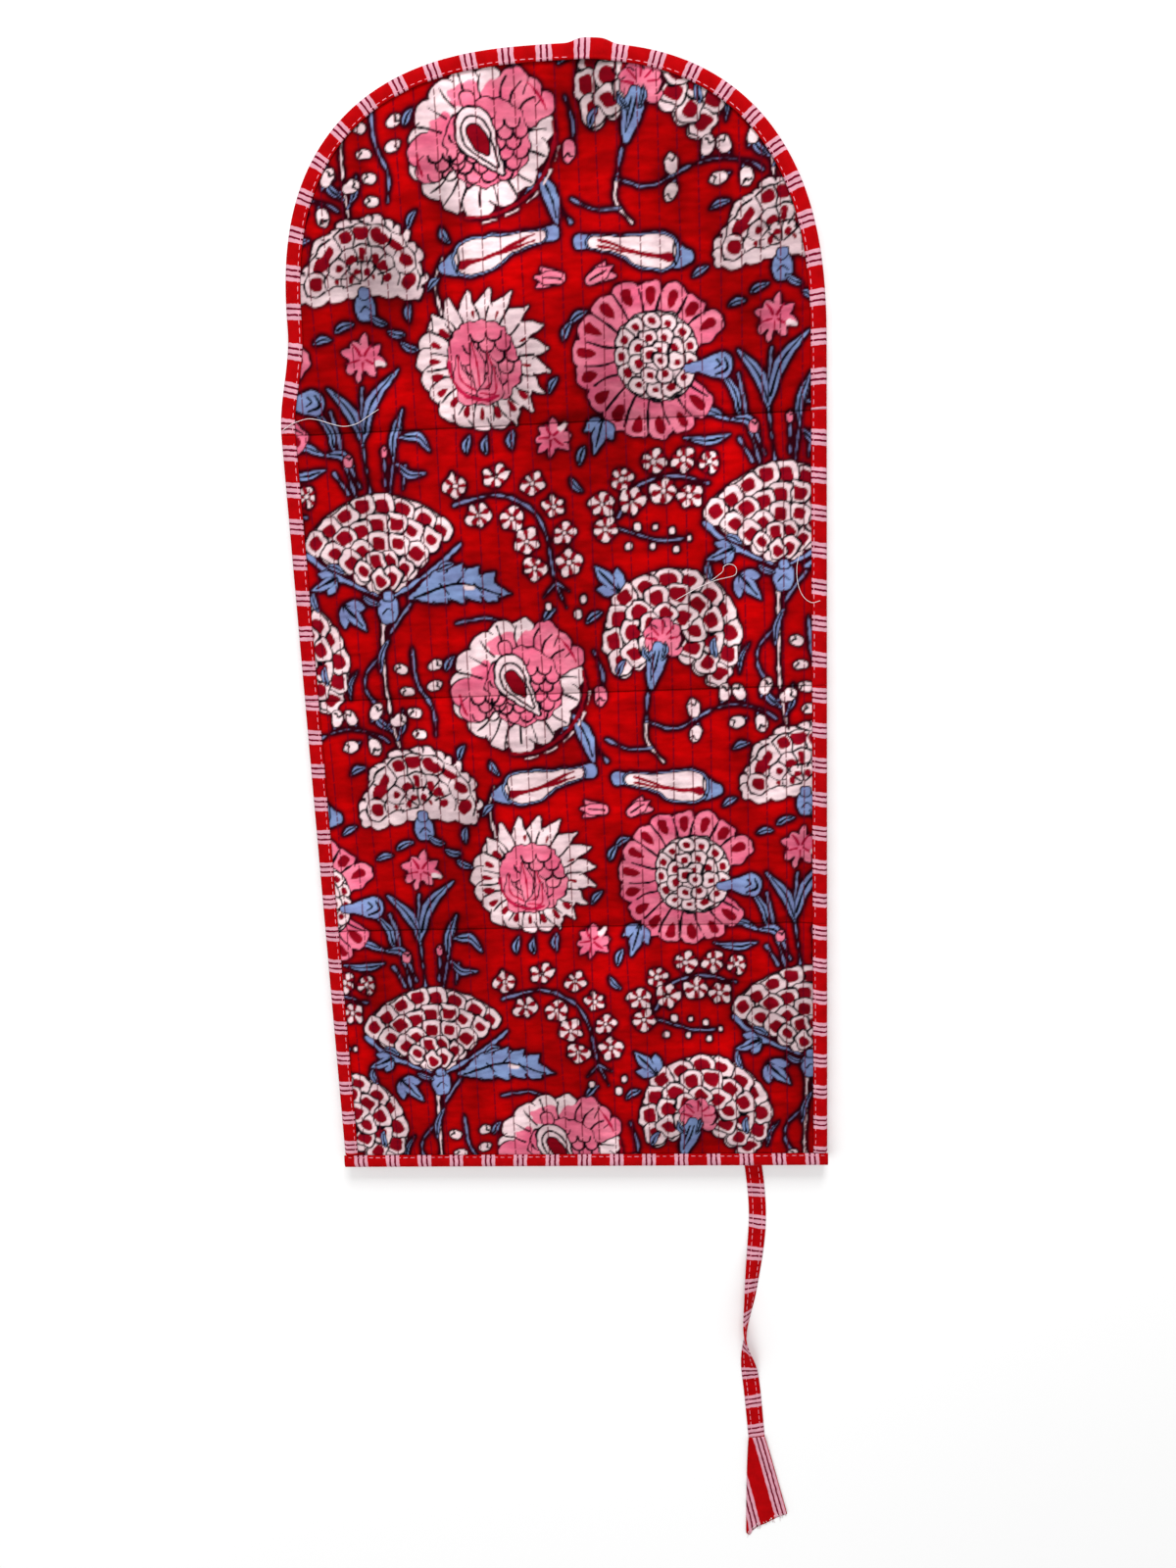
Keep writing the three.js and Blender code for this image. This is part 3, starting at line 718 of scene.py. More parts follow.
def note(piece, name, values):
    """Stores one number or one colour for each point of a piece, for its material to read."""
    values = np.asarray(values, np.float32)
    if values.ndim == 1:
        layer = piece.data.attributes.new(name, "FLOAT", "POINT")
        layer.data.foreach_set("value", values)
    else:
        layer = piece.data.attributes.new(name, "FLOAT_COLOR", "POINT")
        layer.data.foreach_set("color", np.hstack((values, np.ones((len(values), 1), np.float32))).ravel())


def loft(rings):
    """Points, quads and two end caps over a stack of rings with the same number of points."""
    count, size = rings.shape[:2]
    return loft_each(rings.reshape(1, count * size, 3), size)


def loft_each(stacks, sides):
    """Points, quads and end caps over several stacks of rings: each row holds a stack, ring after ring."""
    count, size = stacks.shape[:2]
    here = np.arange(sides)
    after = (here + 1) % sides
    start = (np.arange(size // sides - 1) * sides)[:, None]
    quads = np.stack((start + here, start + after, start + sides + after, start + sides + here), -1)
    first = np.arange(count) * size
    quads = first[:, None, None] + quads.reshape(1, -1, 4)
    near = [list(range(n + sides - 1, n - 1, -1)) for n in first]
    far = [list(range(n + size - sides, n + size)) for n in first]
    return stacks.reshape(-1, 3), quads.reshape(-1, 4), near + far


def tube(line, thick, sides):
    """Rings of a round thread along a line."""
    side, face = ribbon_frames(line, np.zeros(len(line)))
    angle = 2 * math.pi * np.arange(sides)[:, None] / sides
    return line[:, None] + thick * (side[:, None] * np.cos(angle) + face[:, None] * np.sin(angle))


def slab(name, x, y, low, high, material):
    """A closed sheet of cloth over grids of places, with a height for each of its two sides."""
    sides = [np.stack((x, y, level + 0 * x), -1) for level in (low, high)]
    points, quads, caps = loft(np.concatenate((sides[0], sides[1][:, ::-1]), 1))
    return make_piece(name, points, quads, caps, material)

def pick(field, x, y, spacing):
    """Reads a wrapped grid of values at points between its cells."""
    u, v = np.asarray(x) / spacing, np.asarray(y) / spacing
    column, row = np.floor(u).astype(int), np.floor(v).astype(int)
    fx, fy = u - column, v - row
    if field.ndim == 3:
        fx, fy = fx[..., None], fy[..., None]
    down, across = field.shape[:2]
    c0, c1, r0, r1 = column % across, (column + 1) % across, row % down, (row + 1) % down
    low = field[r0, c0] * (1 - fx) + field[r0, c1] * fx
    high = field[r1, c0] * (1 - fx) + field[r1, c1] * fx
    return low * (1 - fy) + high * fy


def smooth_step(value, low, high):
    t = np.clip((value - low) / (high - low), 0, 1)
    return t * t * (3 - 2 * t)


# ---- the panel's shape -------------------------------------------------------------------------
FIELD = (864, 432)
RIPPLES = soft_noise(FIELD, GRID, 0.75, 2.6, 21)
LONG_RIPPLES = soft_noise(FIELD, GRID, 1.9, 6.0, 22)
SWELLS = soft_noise(FIELD, GRID, 26, 18, 23)
WANDER = soft_noise(FIELD, GRID, 22, 3.0, 24)
MOTTLE = soft_noise(FIELD, GRID, 15, 9, 25)
# Fine horizontal streaks for the cloth's colour: partly ink streaks, partly painted shade of small wrinkles
INK_STREAKS_AND_WRINKLE_SHADE = soft_noise(FIELD, GRID, 0.9, 2.2, 26)
SLIP_X = soft_noise(FIELD, GRID, 14, 14, 27)
SLIP_Y = soft_noise(FIELD, GRID, 14, 14, 28)


def shoulder(x, y):
    """How far the flap's left side is tapered in at a point."""
    rise = smooth_step(y, FLAP_SEAM, FLAP_SEAM + SHOULDER_LENGTH)
    return SHOULDER_TAPER * rise * np.clip((ARCH_PEAK - x) / (ARCH_PEAK + HALF_WIDTH), 0, 1)


def side_edges(y, inset=0.0):
    """The panel's left and right edges at a height."""
    edges = []
    for side, arch in ((-1, LEFT_ARCH_HEIGHT), (1, RIGHT_ARCH_HEIGHT)):
        up = np.clip((np.asarray(y, float) - TOP + arch) / (arch - inset), 0, 1)
        reach = side * (HALF_WIDTH - inset) - ARCH_PEAK
        x = ARCH_PEAK + reach * (1 - up ** ARCH_EXPONENT) ** (1 / ARCH_EXPONENT)
        edges.append(x + shoulder(x, y))
    return edges


def edge_gap(x, y):
    """About how far inside the panel's outline a point is."""
    x = x - shoulder(x, y) - ARCH_PEAK
    wide = np.where(x < 0, HALF_WIDTH + ARCH_PEAK, HALF_WIDTH - ARCH_PEAK)
    arch = np.where(x < 0, LEFT_ARCH_HEIGHT, RIGHT_ARCH_HEIGHT)
    up = np.maximum(y - TOP + arch, 0)
    level = ((np.abs(x) / wide) ** ARCH_EXPONENT + (up / arch) ** ARCH_EXPONENT) ** (1 / ARCH_EXPONENT)
    reach = np.hypot(x, up) / np.maximum(level, 1e-6)
    return np.minimum((1 - level) * reach, y - BOTTOM)


def puffs(x):
    """How full the padding is across the panel: nothing at a row of stitches, one midway between two."""
    return 1 - np.abs(2 * ((x / CHANNEL) % 1) - 1) ** PUFF_POWER


def relief(x, y):
    """The height of the quilted face."""
    puff = puffs(x)
    ripple = pick(RIPPLES, x, y, GRID) * (RIPPLE - RIPPLE_ON_PUFF * puff)
    ripple = ripple + pick(LONG_RIPPLES, x, y, GRID) * LONG_RIPPLE
    seams = (BOTTOM, LOWER_SEAM, MIDDLE_SEAM, FLAP_SEAM, TOP)
    section = np.clip(np.searchsorted(seams, y, "right") - 1, 0, 3)
    start, end = np.take(seams, section), np.take(seams, section + 1)
    crown = 1 - np.abs(2 * (y - start) / (end - start) - 1) ** CROWN_POWER
    dip = sum(np.exp(-(np.abs(y - seam) / SEAM_SPREAD) ** SEAM_POWER) for seam in seams[1:4])
    swell = SWELL * pick(SWELLS, x, y, GRID)
    puffed = PUFF * puff * (1 - (1 - PUFF_AT_SEAM) * dip)
    quilted = QUILT_BASE + puffed + CROWN * crown + ripple + swell - SEAM_DEPTH * dip
    tucked = QUILT_BASE + TUCK_HEIGHT - TUCK_DIP * dip
    return tucked + (quilted - tucked) * smooth_step(edge_gap(x, y), TUCK_START, TUCK_END)


def sheet_of_cells(x, y, runs, fine, flat):
    """A closed slab over rows of cells, with a finely shaped face, straight walls and a flat face.

    x and y are grids of places, and runs gives each row's first cell and the one after its last."""
    rows, columns = x.shape
    inside = np.zeros((rows - 1, columns - 1), bool)
    for row, (first, last) in enumerate(runs):
        inside[row, first:last] = True
    used = np.zeros((rows, columns), bool)
    used[:-1, :-1] |= inside
    used[1:, :-1] |= inside
    used[:-1, 1:] |= inside
    used[1:, 1:] |= inside
    number = np.full((rows, columns), -1)
    number[used] = np.arange(used.sum())
    r, c = np.nonzero(inside)
    top = np.stack((number[r, c], number[r, c + 1], number[r + 1, c + 1], number[r + 1, c]), 1)
    sides = np.concatenate([top[:, [k, (k + 1) % 4]] for k in range(4)])
    key = np.sort(sides, 1) @ np.array((used.sum(), 1))
    once = np.isin(key, np.unique(key)[np.unique(key, return_counts=True)[1] == 1])
    rim = sides[once]
    rim_points = np.unique(rim)
    below = np.full(used.sum(), -1)
    below[rim_points] = used.sum() + np.arange(len(rim_points))
    walls = np.stack((rim[:, 1], rim[:, 0], below[rim[:, 0]], below[rim[:, 1]]), 1)
    fine_points = np.stack((x[used], y[used], np.broadcast_to(fine, x.shape)[used]), 1)
    flat_points = fine_points[rim_points] * (1, 1, 0) + (0, 0, flat)
    lines = [number[row][number[row] >= 0] for row in range(rows)]
    strips = []
    for row, (first, last) in enumerate(runs):
        if last <= first:
            continue
        near, far = (below[number[line, first:last + 1]] for line in (row, row + 1))
        strips.append(list(near[near >= 0]) + list(far[far >= 0])[::-1])
    return np.vstack((fine_points, flat_points)), np.vstack((top, walls)), [s[::-1] for s in strips], used


# ---- materials ---------------------------------------------------------------------------------
class Shader:
    """A node material, with short ways to add and join its nodes."""

    def __init__(self, name, **settings):
        self.material = bpy.data.materials.new(name)
        self.material.use_nodes = True
        self.nodes = self.material.node_tree.nodes
        self.links = self.material.node_tree.links
        self.principled = self.nodes["Principled BSDF"]
        for socket, value in settings.items():
            self.principled.inputs[socket.replace("_", " ")].default_value = value

    def add(self, kind, inputs=(), **settings):
        node = self.nodes.new(kind)
        for key, value in settings.items():
            setattr(node, key, value)
        for socket, value in dict(inputs).items():
            self.feed(node.inputs[socket], value)
        return node

    def feed(self, socket, value):
        if isinstance(value, bpy.types.NodeSocket):
            self.links.new(value, socket)
        elif hasattr(value, "__len__"):
            socket.default_value = (*value, 1.0)[:len(socket.default_value)]
        else:
            socket.default_value = value

    def math(self, operation, *values):
        return self.add("ShaderNodeMath", enumerate(values), operation=operation).outputs[0]

    def multiply(self, first, second):
        """Two colours multiplied."""
        node = self.add("ShaderNodeMix", data_type="RGBA", blend_type="MULTIPLY")
        for socket, value in ((node.inputs[0], 1.0), (node.inputs[6], first), (node.inputs[7], second)):
            self.feed(socket, value)
        return node.outputs[2]

    def place(self, scale=(1, 1, 1)):
        """Object coordinates, stretched by a scale along each axis."""
        spot = self.add("ShaderNodeTexCoord").outputs["Object"]
        return self.add("ShaderNodeMapping", {"Vector": spot, "Scale": scale}).outputs[0]

    def noise(self, scale, detail, stretch=(1, 1, 1)):
        inputs = {"Vector": self.place(stretch), "Scale": scale, "Detail": detail}
        return self.add("ShaderNodeTexNoise", inputs).outputs["Fac"]

    def attribute(self, name, output="Fac"):
        return self.add("ShaderNodeAttribute", attribute_name=name).outputs[output]

    def ramp(self, value, *stops):
        node = self.add("ShaderNodeValToRGB", {"Fac": value})
        while len(node.color_ramp.elements) < len(stops):
            node.color_ramp.elements.new(0.5)
        for element, (position, colour) in zip(node.color_ramp.elements, stops):
            element.position = position
            element.color = (*colour, 1)
        return node.outputs["Color"]

    def tone(self, scale, detail, deep, light, low=0.3, stretch=(1, 1, 1)):
        """Noise that runs from a deep colour to a light one."""
        return self.ramp(self.noise(scale, detail, stretch), (low, deep), (1 - low, light))

    def bump(self, height, depth, strength, under=None):
        inputs = {"Height": height, "Distance": depth, "Strength": strength}
        if under:
            inputs["Normal"] = under
        return self.add("ShaderNodeBump", inputs).outputs["Normal"]

    def finish(self, colour, normal=None, rough=None):
        self.feed(self.principled.inputs["Base Color"], colour)
        if normal:
            self.feed(self.principled.inputs["Normal"], normal)
        if rough:
            self.feed(self.principled.inputs["Roughness"], rough)
        return self.material

    def weave(self, pitch, depth):
        """Plain weave: the threads of two directions, crossing, with uneven thickness."""
        spot = self.place()
        parts = self.add("ShaderNodeSeparateXYZ", {"Vector": spot}).outputs
        uneven = self.math("MULTIPLY", self.noise(900, 1.0), 2.2)
        turn = 2 * math.pi / pitch
        warp = self.math("SINE", self.math("ADD", self.math("MULTIPLY", parts["X"], turn), uneven))
        weft = self.math("SINE", self.math("ADD", self.math("MULTIPLY", parts["Y"], turn), uneven))
        return self.bump(self.math("MULTIPLY", warp, weft), depth, 0.6)


def printed_cotton():
    """Block-printed cloth, which takes its dyes from the ink attribute."""
    shader = Shader("printed_cotton", Roughness=0.95, Specular_IOR_Level=0.02)
    fade = shader.tone(260, 4.0, (0.86, 0.84, 0.86), (1.12, 1.12, 1.1), 0.25, (1, 2.2, 1))
    worn = shader.multiply(shader.attribute("ink", "Color"), fade)
    threads = shader.weave(WEAVE_PITCH, 0.00005)
    slubs = shader.noise(700, 3.0, (0.35, 1.6, 1))
    return shader.finish(worn, shader.bump(slubs, 0.00012, 0.5, threads))


def striped_cotton():
    """Red cloth with groups of three pink stripes, laid out along the run attribute."""
    shader = Shader("striped_cotton", Roughness=0.92, Specular_IOR_Level=0.03)
    wobble = shader.math("MULTIPLY", shader.math("SUBTRACT", shader.noise(420, 2.0), 0.5), 0.9)
    run = shader.math("ADD", shader.attribute("run"), wobble)
    place = shader.math("DIVIDE", shader.math("FLOORED_MODULO", run, STRIPE_PITCH), STRIPE_PITCH)
    stops = [(0.0, STRIPE_RED)]
    for stripe in range(3):
        start = (STRIPE_START + stripe * STRIPE_STEP) / STRIPE_PITCH
        end = start + STRIPE_WIDTH / STRIPE_PITCH
        before = STRIPE_RED if stripe == 0 else STRIPE_WINE
        after = STRIPE_RED if stripe == 2 else STRIPE_WINE
        stops += [(start - STRIPE_BLUR, before), (start + STRIPE_BLUR, STRIPE_PINK)]
        stops += [(end - STRIPE_BLUR, STRIPE_PINK), (end + STRIPE_BLUR, after)]
    fade = shader.tone(240, 4.0, (0.8, 0.8, 0.8), (1.12, 1.12, 1.12), 0.25)
    cloth = shader.multiply(shader.ramp(place, *stops), fade)
    return shader.finish(cloth, shader.weave(WEAVE_PITCH, 0.00006))


def plain_cotton():
    shader = Shader("lining_cotton", Roughness=0.9, Specular_IOR_Level=0.06)
    tone = shader.tone(120, 5.0, linear(150, 14, 24), linear(178, 22, 32), 0.25)
    return shader.finish(tone, shader.weave(WEAVE_PITCH, 0.00006))


def thread_cotton(name, deep, light):
    shader = Shader(name, Roughness=0.8)
    tone = shader.tone(900, 2.0, linear(*deep), linear(*light))
    return shader.finish(tone, shader.bump(shader.noise(2600, 1.0), 0.00006, 0.6))


def zip_tape():
    shader = Shader("zip_tape", Roughness=0.75, Sheen_Weight=0.1)
    tone = shader.tone(300, 3.0, linear(120, 8, 16), linear(150, 14, 24), 0.3, (1, 4, 1))
    return shader.finish(tone, shader.weave(0.0008, 0.00008))


def zip_coil():
    shader = Shader("zip_coil", Roughness=0.38, Specular_IOR_Level=0.5)
    tone = shader.tone(500, 2.0, linear(120, 8, 18), linear(156, 16, 28))
    return shader.finish(tone, shader.bump(shader.noise(1800, 2.0), 0.00003, 0.4))


def zip_metal():
    shader = Shader("zip_metal", Metallic=1.0)
    tone = shader.tone(180, 3.0, (0.62, 0.6, 0.56), (0.74, 0.72, 0.68))
    brushed = shader.noise(900, 3.0, (0.2, 4, 1))
    rough = shader.add("ShaderNodeMapRange", {0: brushed, 3: 0.24, 4: 0.42}).outputs[0]
    return shader.finish(tone, shader.bump(brushed, 0.00002, 0.3), rough)


def pale_floor():
    shader = Shader("pale_floor", Roughness=0.9)
    return shader.finish(shader.tone(2.0, 2.0, (0.86, 0.86, 0.86), (0.88, 0.88, 0.88)))


PRINTED = printed_cotton()
STRIPED = striped_cotton()
LINED = plain_cotton()
THREAD = thread_cotton("sewing_thread", (222, 132, 152), (238, 168, 184))
PALE_THREAD = thread_cotton("pale_thread", (214, 196, 198), (240, 232, 232))
TAPE = zip_tape()
COIL = zip_coil()
METAL = zip_metal()


# ---- camera ------------------------------------------------------------------------------------
CAMERA_PLACE = (0.0489, 0.0490, 0.5407)
CAMERA_TURN = (-11.57, 3.67, -2.35)
CAMERA_LENS = 27


def add_camera():
    lens = bpy.data.cameras.new("camera")
    lens.lens = CAMERA_LENS
    camera = bpy.data.objects.new("camera", lens)
    camera.location = CAMERA_PLACE
    camera.rotation_euler = [math.radians(angle) for angle in CAMERA_TURN]
    bpy.context.scene.collection.objects.link(camera)
    bpy.context.scene.camera = camera


# ---- tie ---------------------------------------------------------------------------------------
def ribbon_frames(path, turn):
    """Side and face directions along a path that lies flat, turned about it by an angle at each point."""
    ahead = np.gradient(path, axis=0) * (1, 1, 0)
    ahead /= np.linalg.norm(ahead, axis=1)[:, None]
    side = np.stack((ahead[:, 1], -ahead[:, 0], np.zeros(len(path))), 1)
    up = np.array((0, 0, 1.0))
    cosine, sine = np.cos(turn)[:, None], np.sin(turn)[:, None]
    return side * cosine + up * sine, up * cosine - side * sine


def distance_along(path):
    """How far along a path each of its points is."""
    return np.concatenate(([0], np.cumsum(np.linalg.norm(np.diff(path, axis=0), axis=1))))


def read_along(place, run, field):
    """A value for each point of a path, read between the points."""
    return np.array([np.interp(place, run, field[:, k]) for k in range(field.shape[1])])


def tie_path():
    """The strap's centre line, which rises where the strap stands on its edge, and how far it is turned."""
    flat = smooth_path(TIE_ROUTE, TIE_STEPS)
    below, degrees = np.transpose(TWIST)
    turn = np.radians(np.interp(-flat[:, 1], -below, degrees))
    turn = np.convolve(np.pad(turn, 4, "edge"), np.ones(9) / 9, "valid")
    lift = TIE_LEVEL + (TIE_WIDTH / 2 - TIE_LEVEL) * np.abs(np.sin(turn))
    return np.column_stack((flat, lift)), turn


def add_tie():
    path, turn = tie_path()
    side, face = ribbon_frames(path, turn)
    half = TIE_WIDTH / 2
    upper = [(inward - half, up) for inward, up in TIE_EDGE] + [(0, TIE_CROWN)]
    upper += [(-u, v) for u, v in upper[-2::-1]]
    outline = np.array(upper + [(u, -v) for u, v in upper[-2:0:-1]])
    run = distance_along(path)
    sway = 0.12 * np.sin(run / 5.3) + 0.1 * np.sin(run / 2.1 + 1)
    rings = (path[:, None] + side[:, None] * outline[None, :, :1] * (1 + 0.02 * sway)[:, None, None]
             + face[:, None] * outline[None, :, 1:])
    rings[..., 2] = np.maximum(rings[..., 2], TIE_FLOOR)
    points, quads, caps = loft(rings)
    tie = make_piece("tie", points, quads, caps, STRIPED)
    across = np.tile(outline[:, 0], len(path))
    stripe_run = np.repeat(run, len(outline)) * TIE_STRIPE_SCALE
    note(tie, "run", stripe_run + 0.12 * across + TIE_STRIPE_SHIFT)
    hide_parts("tie_under_flap", "tie_strap")
    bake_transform(tie)
    return tie, path, side, face


def follow(piece, section):
    """Joins a piece of the upper section to that section's body; pieces of the other sections only have
    their placing baked into their points.
    """
    if section == "upper":
        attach(piece, "upper_section")
    elif section == "flap":
        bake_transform(piece)
    elif section == "middle":
        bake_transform(piece)
    else:
        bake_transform(piece)


def stitches(name, starts, ends, up, thick=STITCH_THICK):
    """Short rounded stitches, each from a start to an end, lying against the cloth."""
    starts, ends = np.asarray(starts, float), np.asarray(ends, float)
    ahead = ends - starts
    long = np.linalg.norm(ahead, axis=1)[:, None]
    ahead /= long
    beside = np.cross(np.broadcast_to(np.asarray(up, float), starts.shape), ahead)
    beside /= np.linalg.norm(beside, axis=1)[:, None]
    over = np.cross(ahead, beside)
    middle = (starts + ends) / 2
    sides = 6
    rings = []
    for place, swell in ((-0.5, 0.35), (-0.36, 0.9), (0, 1), (0.36, 0.9), (0.5, 0.35)):
        for k in range(sides):
            angle = 2 * math.pi * k / sides
            sink = -0.5 * thick * (2 * abs(place)) ** 2
            rings.append(middle + ahead * long * place + beside * math.cos(angle) * swell * thick
                         + over * (math.sin(angle) * swell * thick * 0.8 + sink))
    points, quads, caps = loft_each(np.stack(rings, 1), sides)
    return make_piece(name, points, quads, caps, THREAD)


def add_tie_stitches(path, side, face):
    """Two rows of stitches on each side of the strap, left out where they would be in the floor."""
    run = distance_along(path)
    starts, ends, ups = [], [], []
    for place in np.arange(4, run[-1] - 4, TIE_STITCH_PITCH):
        spots = [[read_along(along, run, field) for field in (path, side, face)]
                 for along in (place, place + TIE_STITCH_LENGTH)]
        for row in TIE_STITCH_ROWS:
            for way in (-1, 1):
                start, end = (spot[0] + spot[1] * row + spot[2] * way * TIE_STITCH_LEVEL for spot in spots)
                if min(start[2], end[2]) < 0.25:
                    continue
                starts.append(start)
                ends.append(end)
                ups.append(spots[0][2] * way)
    rows = stitches("tie_stitches", starts, ends, ups)
    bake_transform(rows)
    return rows


def add_tie_end(path):
    """The strap's cut end: its folds open out flat, and the cloth frays."""
    steps, across = 44, 22
    start = path[-1]
    t = np.linspace(0, 1, steps)[:, None]
    s = np.linspace(-1, 1, across)[None, :]
    half = (TIE_WIDTH / 2 + (END_WIDTH - TIE_WIDTH) / 2 * t ** 0.9)
    long = 1 - s * END_SLANT / 2 / END_LENGTH * t
    x = start[0] + END_DRIFT * t * long + s * half
    y = start[1] - END_LENGTH * t * long + 0.1 * s * half
    y = y - END_CORNER * np.exp(-((s + 0.82) / 0.16) ** 2) * smooth_step(t, 0.9, 1)
    pleat = np.abs(((s + 1) * 1.5) % 1 - 0.5) * 2
    lift = 0.35 + (0.9 * pleat * np.exp(-t * 2.2) * (1 - t)) + 0.5 * t * (1 + np.sin(5 * s + 2.2 * t)) * 0.6
    under = np.maximum(lift - END_LAYER, 0.03)
    end = slab("tie_frayed_tip", x, y, lift + END_LAYER, under, STRIPED)
    from_right = (1 - s) * half
    stripe_run = np.concatenate((from_right, from_right[:, ::-1]), 1) * END_STRIPE_SCALE
    note(end, "run", STRIPE_START - 0.4 + stripe_run.ravel())
    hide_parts("tie_frayed_end")
    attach(end, "upper_section")
    return end, frayed_threads(np.stack((x, y, lift), -1)[-1])


def frayed_threads(cut):
    """Short loose threads along the tie's cut end."""
    rng = np.random.default_rng(71)
    rings = []
    for k in range(FRAYS):
        root = cut[round(1 + (len(cut) - 3) * (k + rng.uniform(0.1, 0.9)) / FRAYS)]
        lean, long = rng.uniform(-0.7, 0.7), rng.uniform(1.4, 3.4)
        reach = np.linspace(0, 1, FRAY_POINTS)
        line = np.stack((root[0] + (lean * long * reach + 0.4 * np.sin(5 * reach + k)),
                         root[1] + (0.8 - 1.8 * reach) * long * 0.8,
                         np.linspace(root[2] + 0.36, 0.2, FRAY_POINTS)), 1)
        rings.append(tube(line, FRAY_THICK, 5).reshape(-1, 3))
    points, quads, caps = loft_each(np.stack(rings), 5)
    threads = make_piece("tie_frayed_threads", points, quads, caps, PALE_THREAD)
    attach(threads, "upper_section")
    return threads


# ---- quilted sections --------------------------------------------------------------------------
def panel_rows():
    """The whole panel's grid: rows that meet each seam, columns that meet each row of stitches."""
    rows = [np.array((BOTTOM,))]
    breaks = [0]
    seams = (BOTTOM, LOWER_SEAM, MIDDLE_SEAM, FLAP_SEAM, TOP)
    for start, end in zip(seams, seams[1:]):
        count = round((end - start) / GRID)
        rows.append(np.linspace(start, end, count + 1)[1:])
        breaks.append(breaks[-1] + count)
    half = round(HALF_WIDTH / GRID)
    return np.concatenate(rows), np.arange(-half, half + 1) * GRID, breaks


def dyed(cloth, x, y):
    """The printed cloth's colour at points of the panel, with random ink mottle and fine streaks that are
    partly painted shade of small wrinkles.
    """
    drawn = smooth_step(y, FLAP_SEAM + 50, TOP - 30)
    dx = x - PRINT_ORIGIN[0] - PRINT_DRAWN[0] * drawn + PRINT_SLIP * pick(SLIP_X, x, y, GRID)
    dy = y - PRINT_ORIGIN[1] - PRINT_DRAWN[1] * drawn + PRINT_SLIP * pick(SLIP_Y, x, y, GRID)
    u = dx * math.cos(PRINT_TURN) + dy * math.sin(PRINT_TURN)
    v = dy * math.cos(PRINT_TURN) - dx * math.sin(PRINT_TURN)
    colour = pick(cloth.colour, u, v, GRAIN)
    halo = 1 - (1 - np.clip(pick(cloth.halo, u, v, GRAIN), 0, 1)[..., None]) ** HALO_POWER
    colour = colour + (SHADE[0] - colour) * halo
    # Random tone: broad ink mottle, and fine horizontal streaks that are partly ink and partly painted shade
    # of small wrinkles
    tone = 1 + 0.16 * pick(MOTTLE, x, y, GRID) + 0.05 * pick(INK_STREAKS_AND_WRINKLE_SHADE, x, y, GRID)
    return colour * np.clip(tone, 0.55, 1.6)[..., None]


def add_quilt(section, first, last, cloth):
    """One section's printed and padded cloth, with its rows of stitches and its seams drawn in."""
    rows, columns, _ = PANEL
    y = rows[first:last + 1]
    x_grid, y_grid = np.meshgrid(columns, y)
    left, right = side_edges(y, QUILT_INSET)
    runs = []
    for row in range(len(y) - 1):
        low, high = max(left[row], left[row + 1]), min(right[row], right[row + 1])
        begin = int(np.searchsorted(columns, low))
        finish = int(np.searchsorted(columns, high, "right")) - 1
        if y[row + 1] > TOP - QUILT_INSET or y[row] < BOTTOM + QUILT_INSET:
            begin = finish = 0
        runs.append((begin, max(begin, finish)))
    height = relief(x_grid, y_grid)
    moved = x_grid + ROW_WANDER * pick(WANDER, x_grid, y_grid, GRID)
    points, quads, strips, used = sheet_of_cells(moved, y_grid, runs, height, BATTING_UNDERSIDE)
    quilt = make_piece(section + "_quilt", points, quads, strips, PRINTED)
    colour = dyed(cloth, moved, y_grid)
    stitch_row = np.round(x_grid / CHANNEL)
    on_row = np.abs(x_grid / CHANNEL - stitch_row) < 0.01
    dash = ((y_grid + DASH_SHIFT * stitch_row) / DASH_PITCH) % 1 < DASH_SHARE
    sewn = (on_row & dash)[..., None] * 0.8
    colour = colour * (1 - sewn) + STRIPE_WINE * sewn * 0.6
    from_seam = np.min([np.abs(y_grid - seam) for seam in (LOWER_SEAM, MIDDLE_SEAM, FLAP_SEAM)], 0)
    seam_row = from_seam < SEAM_LINE
    colour = np.where(seam_row[..., None], colour * SEAM_SHADE, colour)
    shown = colour[used]
    rim = np.tile(shown.mean(0), (len(points) - len(shown), 1))
    note(quilt, "ink", np.vstack((shown, rim)))
    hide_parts(section + "_printed_face", section + "_batting")
    return quilt


# ---- bindings ----------------------------------------------------------------------------------
BINDING_SECTION = np.array((
    (7.0, 8.45), (6.9, 8.95), (6.3, 9.2), (5.9, 9.08), (5.0, 9.3), (3.4, 9.5), (1.8, 9.3), (0.7, 8.6),
    (0.12, 7.2),
    (0.0, 5.2), (0.2, 3.0), (0.8, 1.5), (2.0, 0.98), (5.4, 0.95), (6.8, 1.05), (7.0, 1.6), (6.4, 2.1),
    (2.8, 2.2),
    (1.5, 3.2), (1.3, 6.4), (1.9, 7.8), (3.4, 8.3),
))


def binding_rail(start, end):
    """Points and inward directions along a straight stretch of the panel's edge."""
    start, end = np.array(start, float), np.array(end, float)
    count = max(2, round(np.linalg.norm(end - start) / BINDING_STEP))
    points = start + (end - start) * np.linspace(0, 1, count + 1)[:, None]
    ahead = (end - start) / np.linalg.norm(end - start)
    return points, np.tile((ahead[1], -ahead[0]), (len(points), 1))


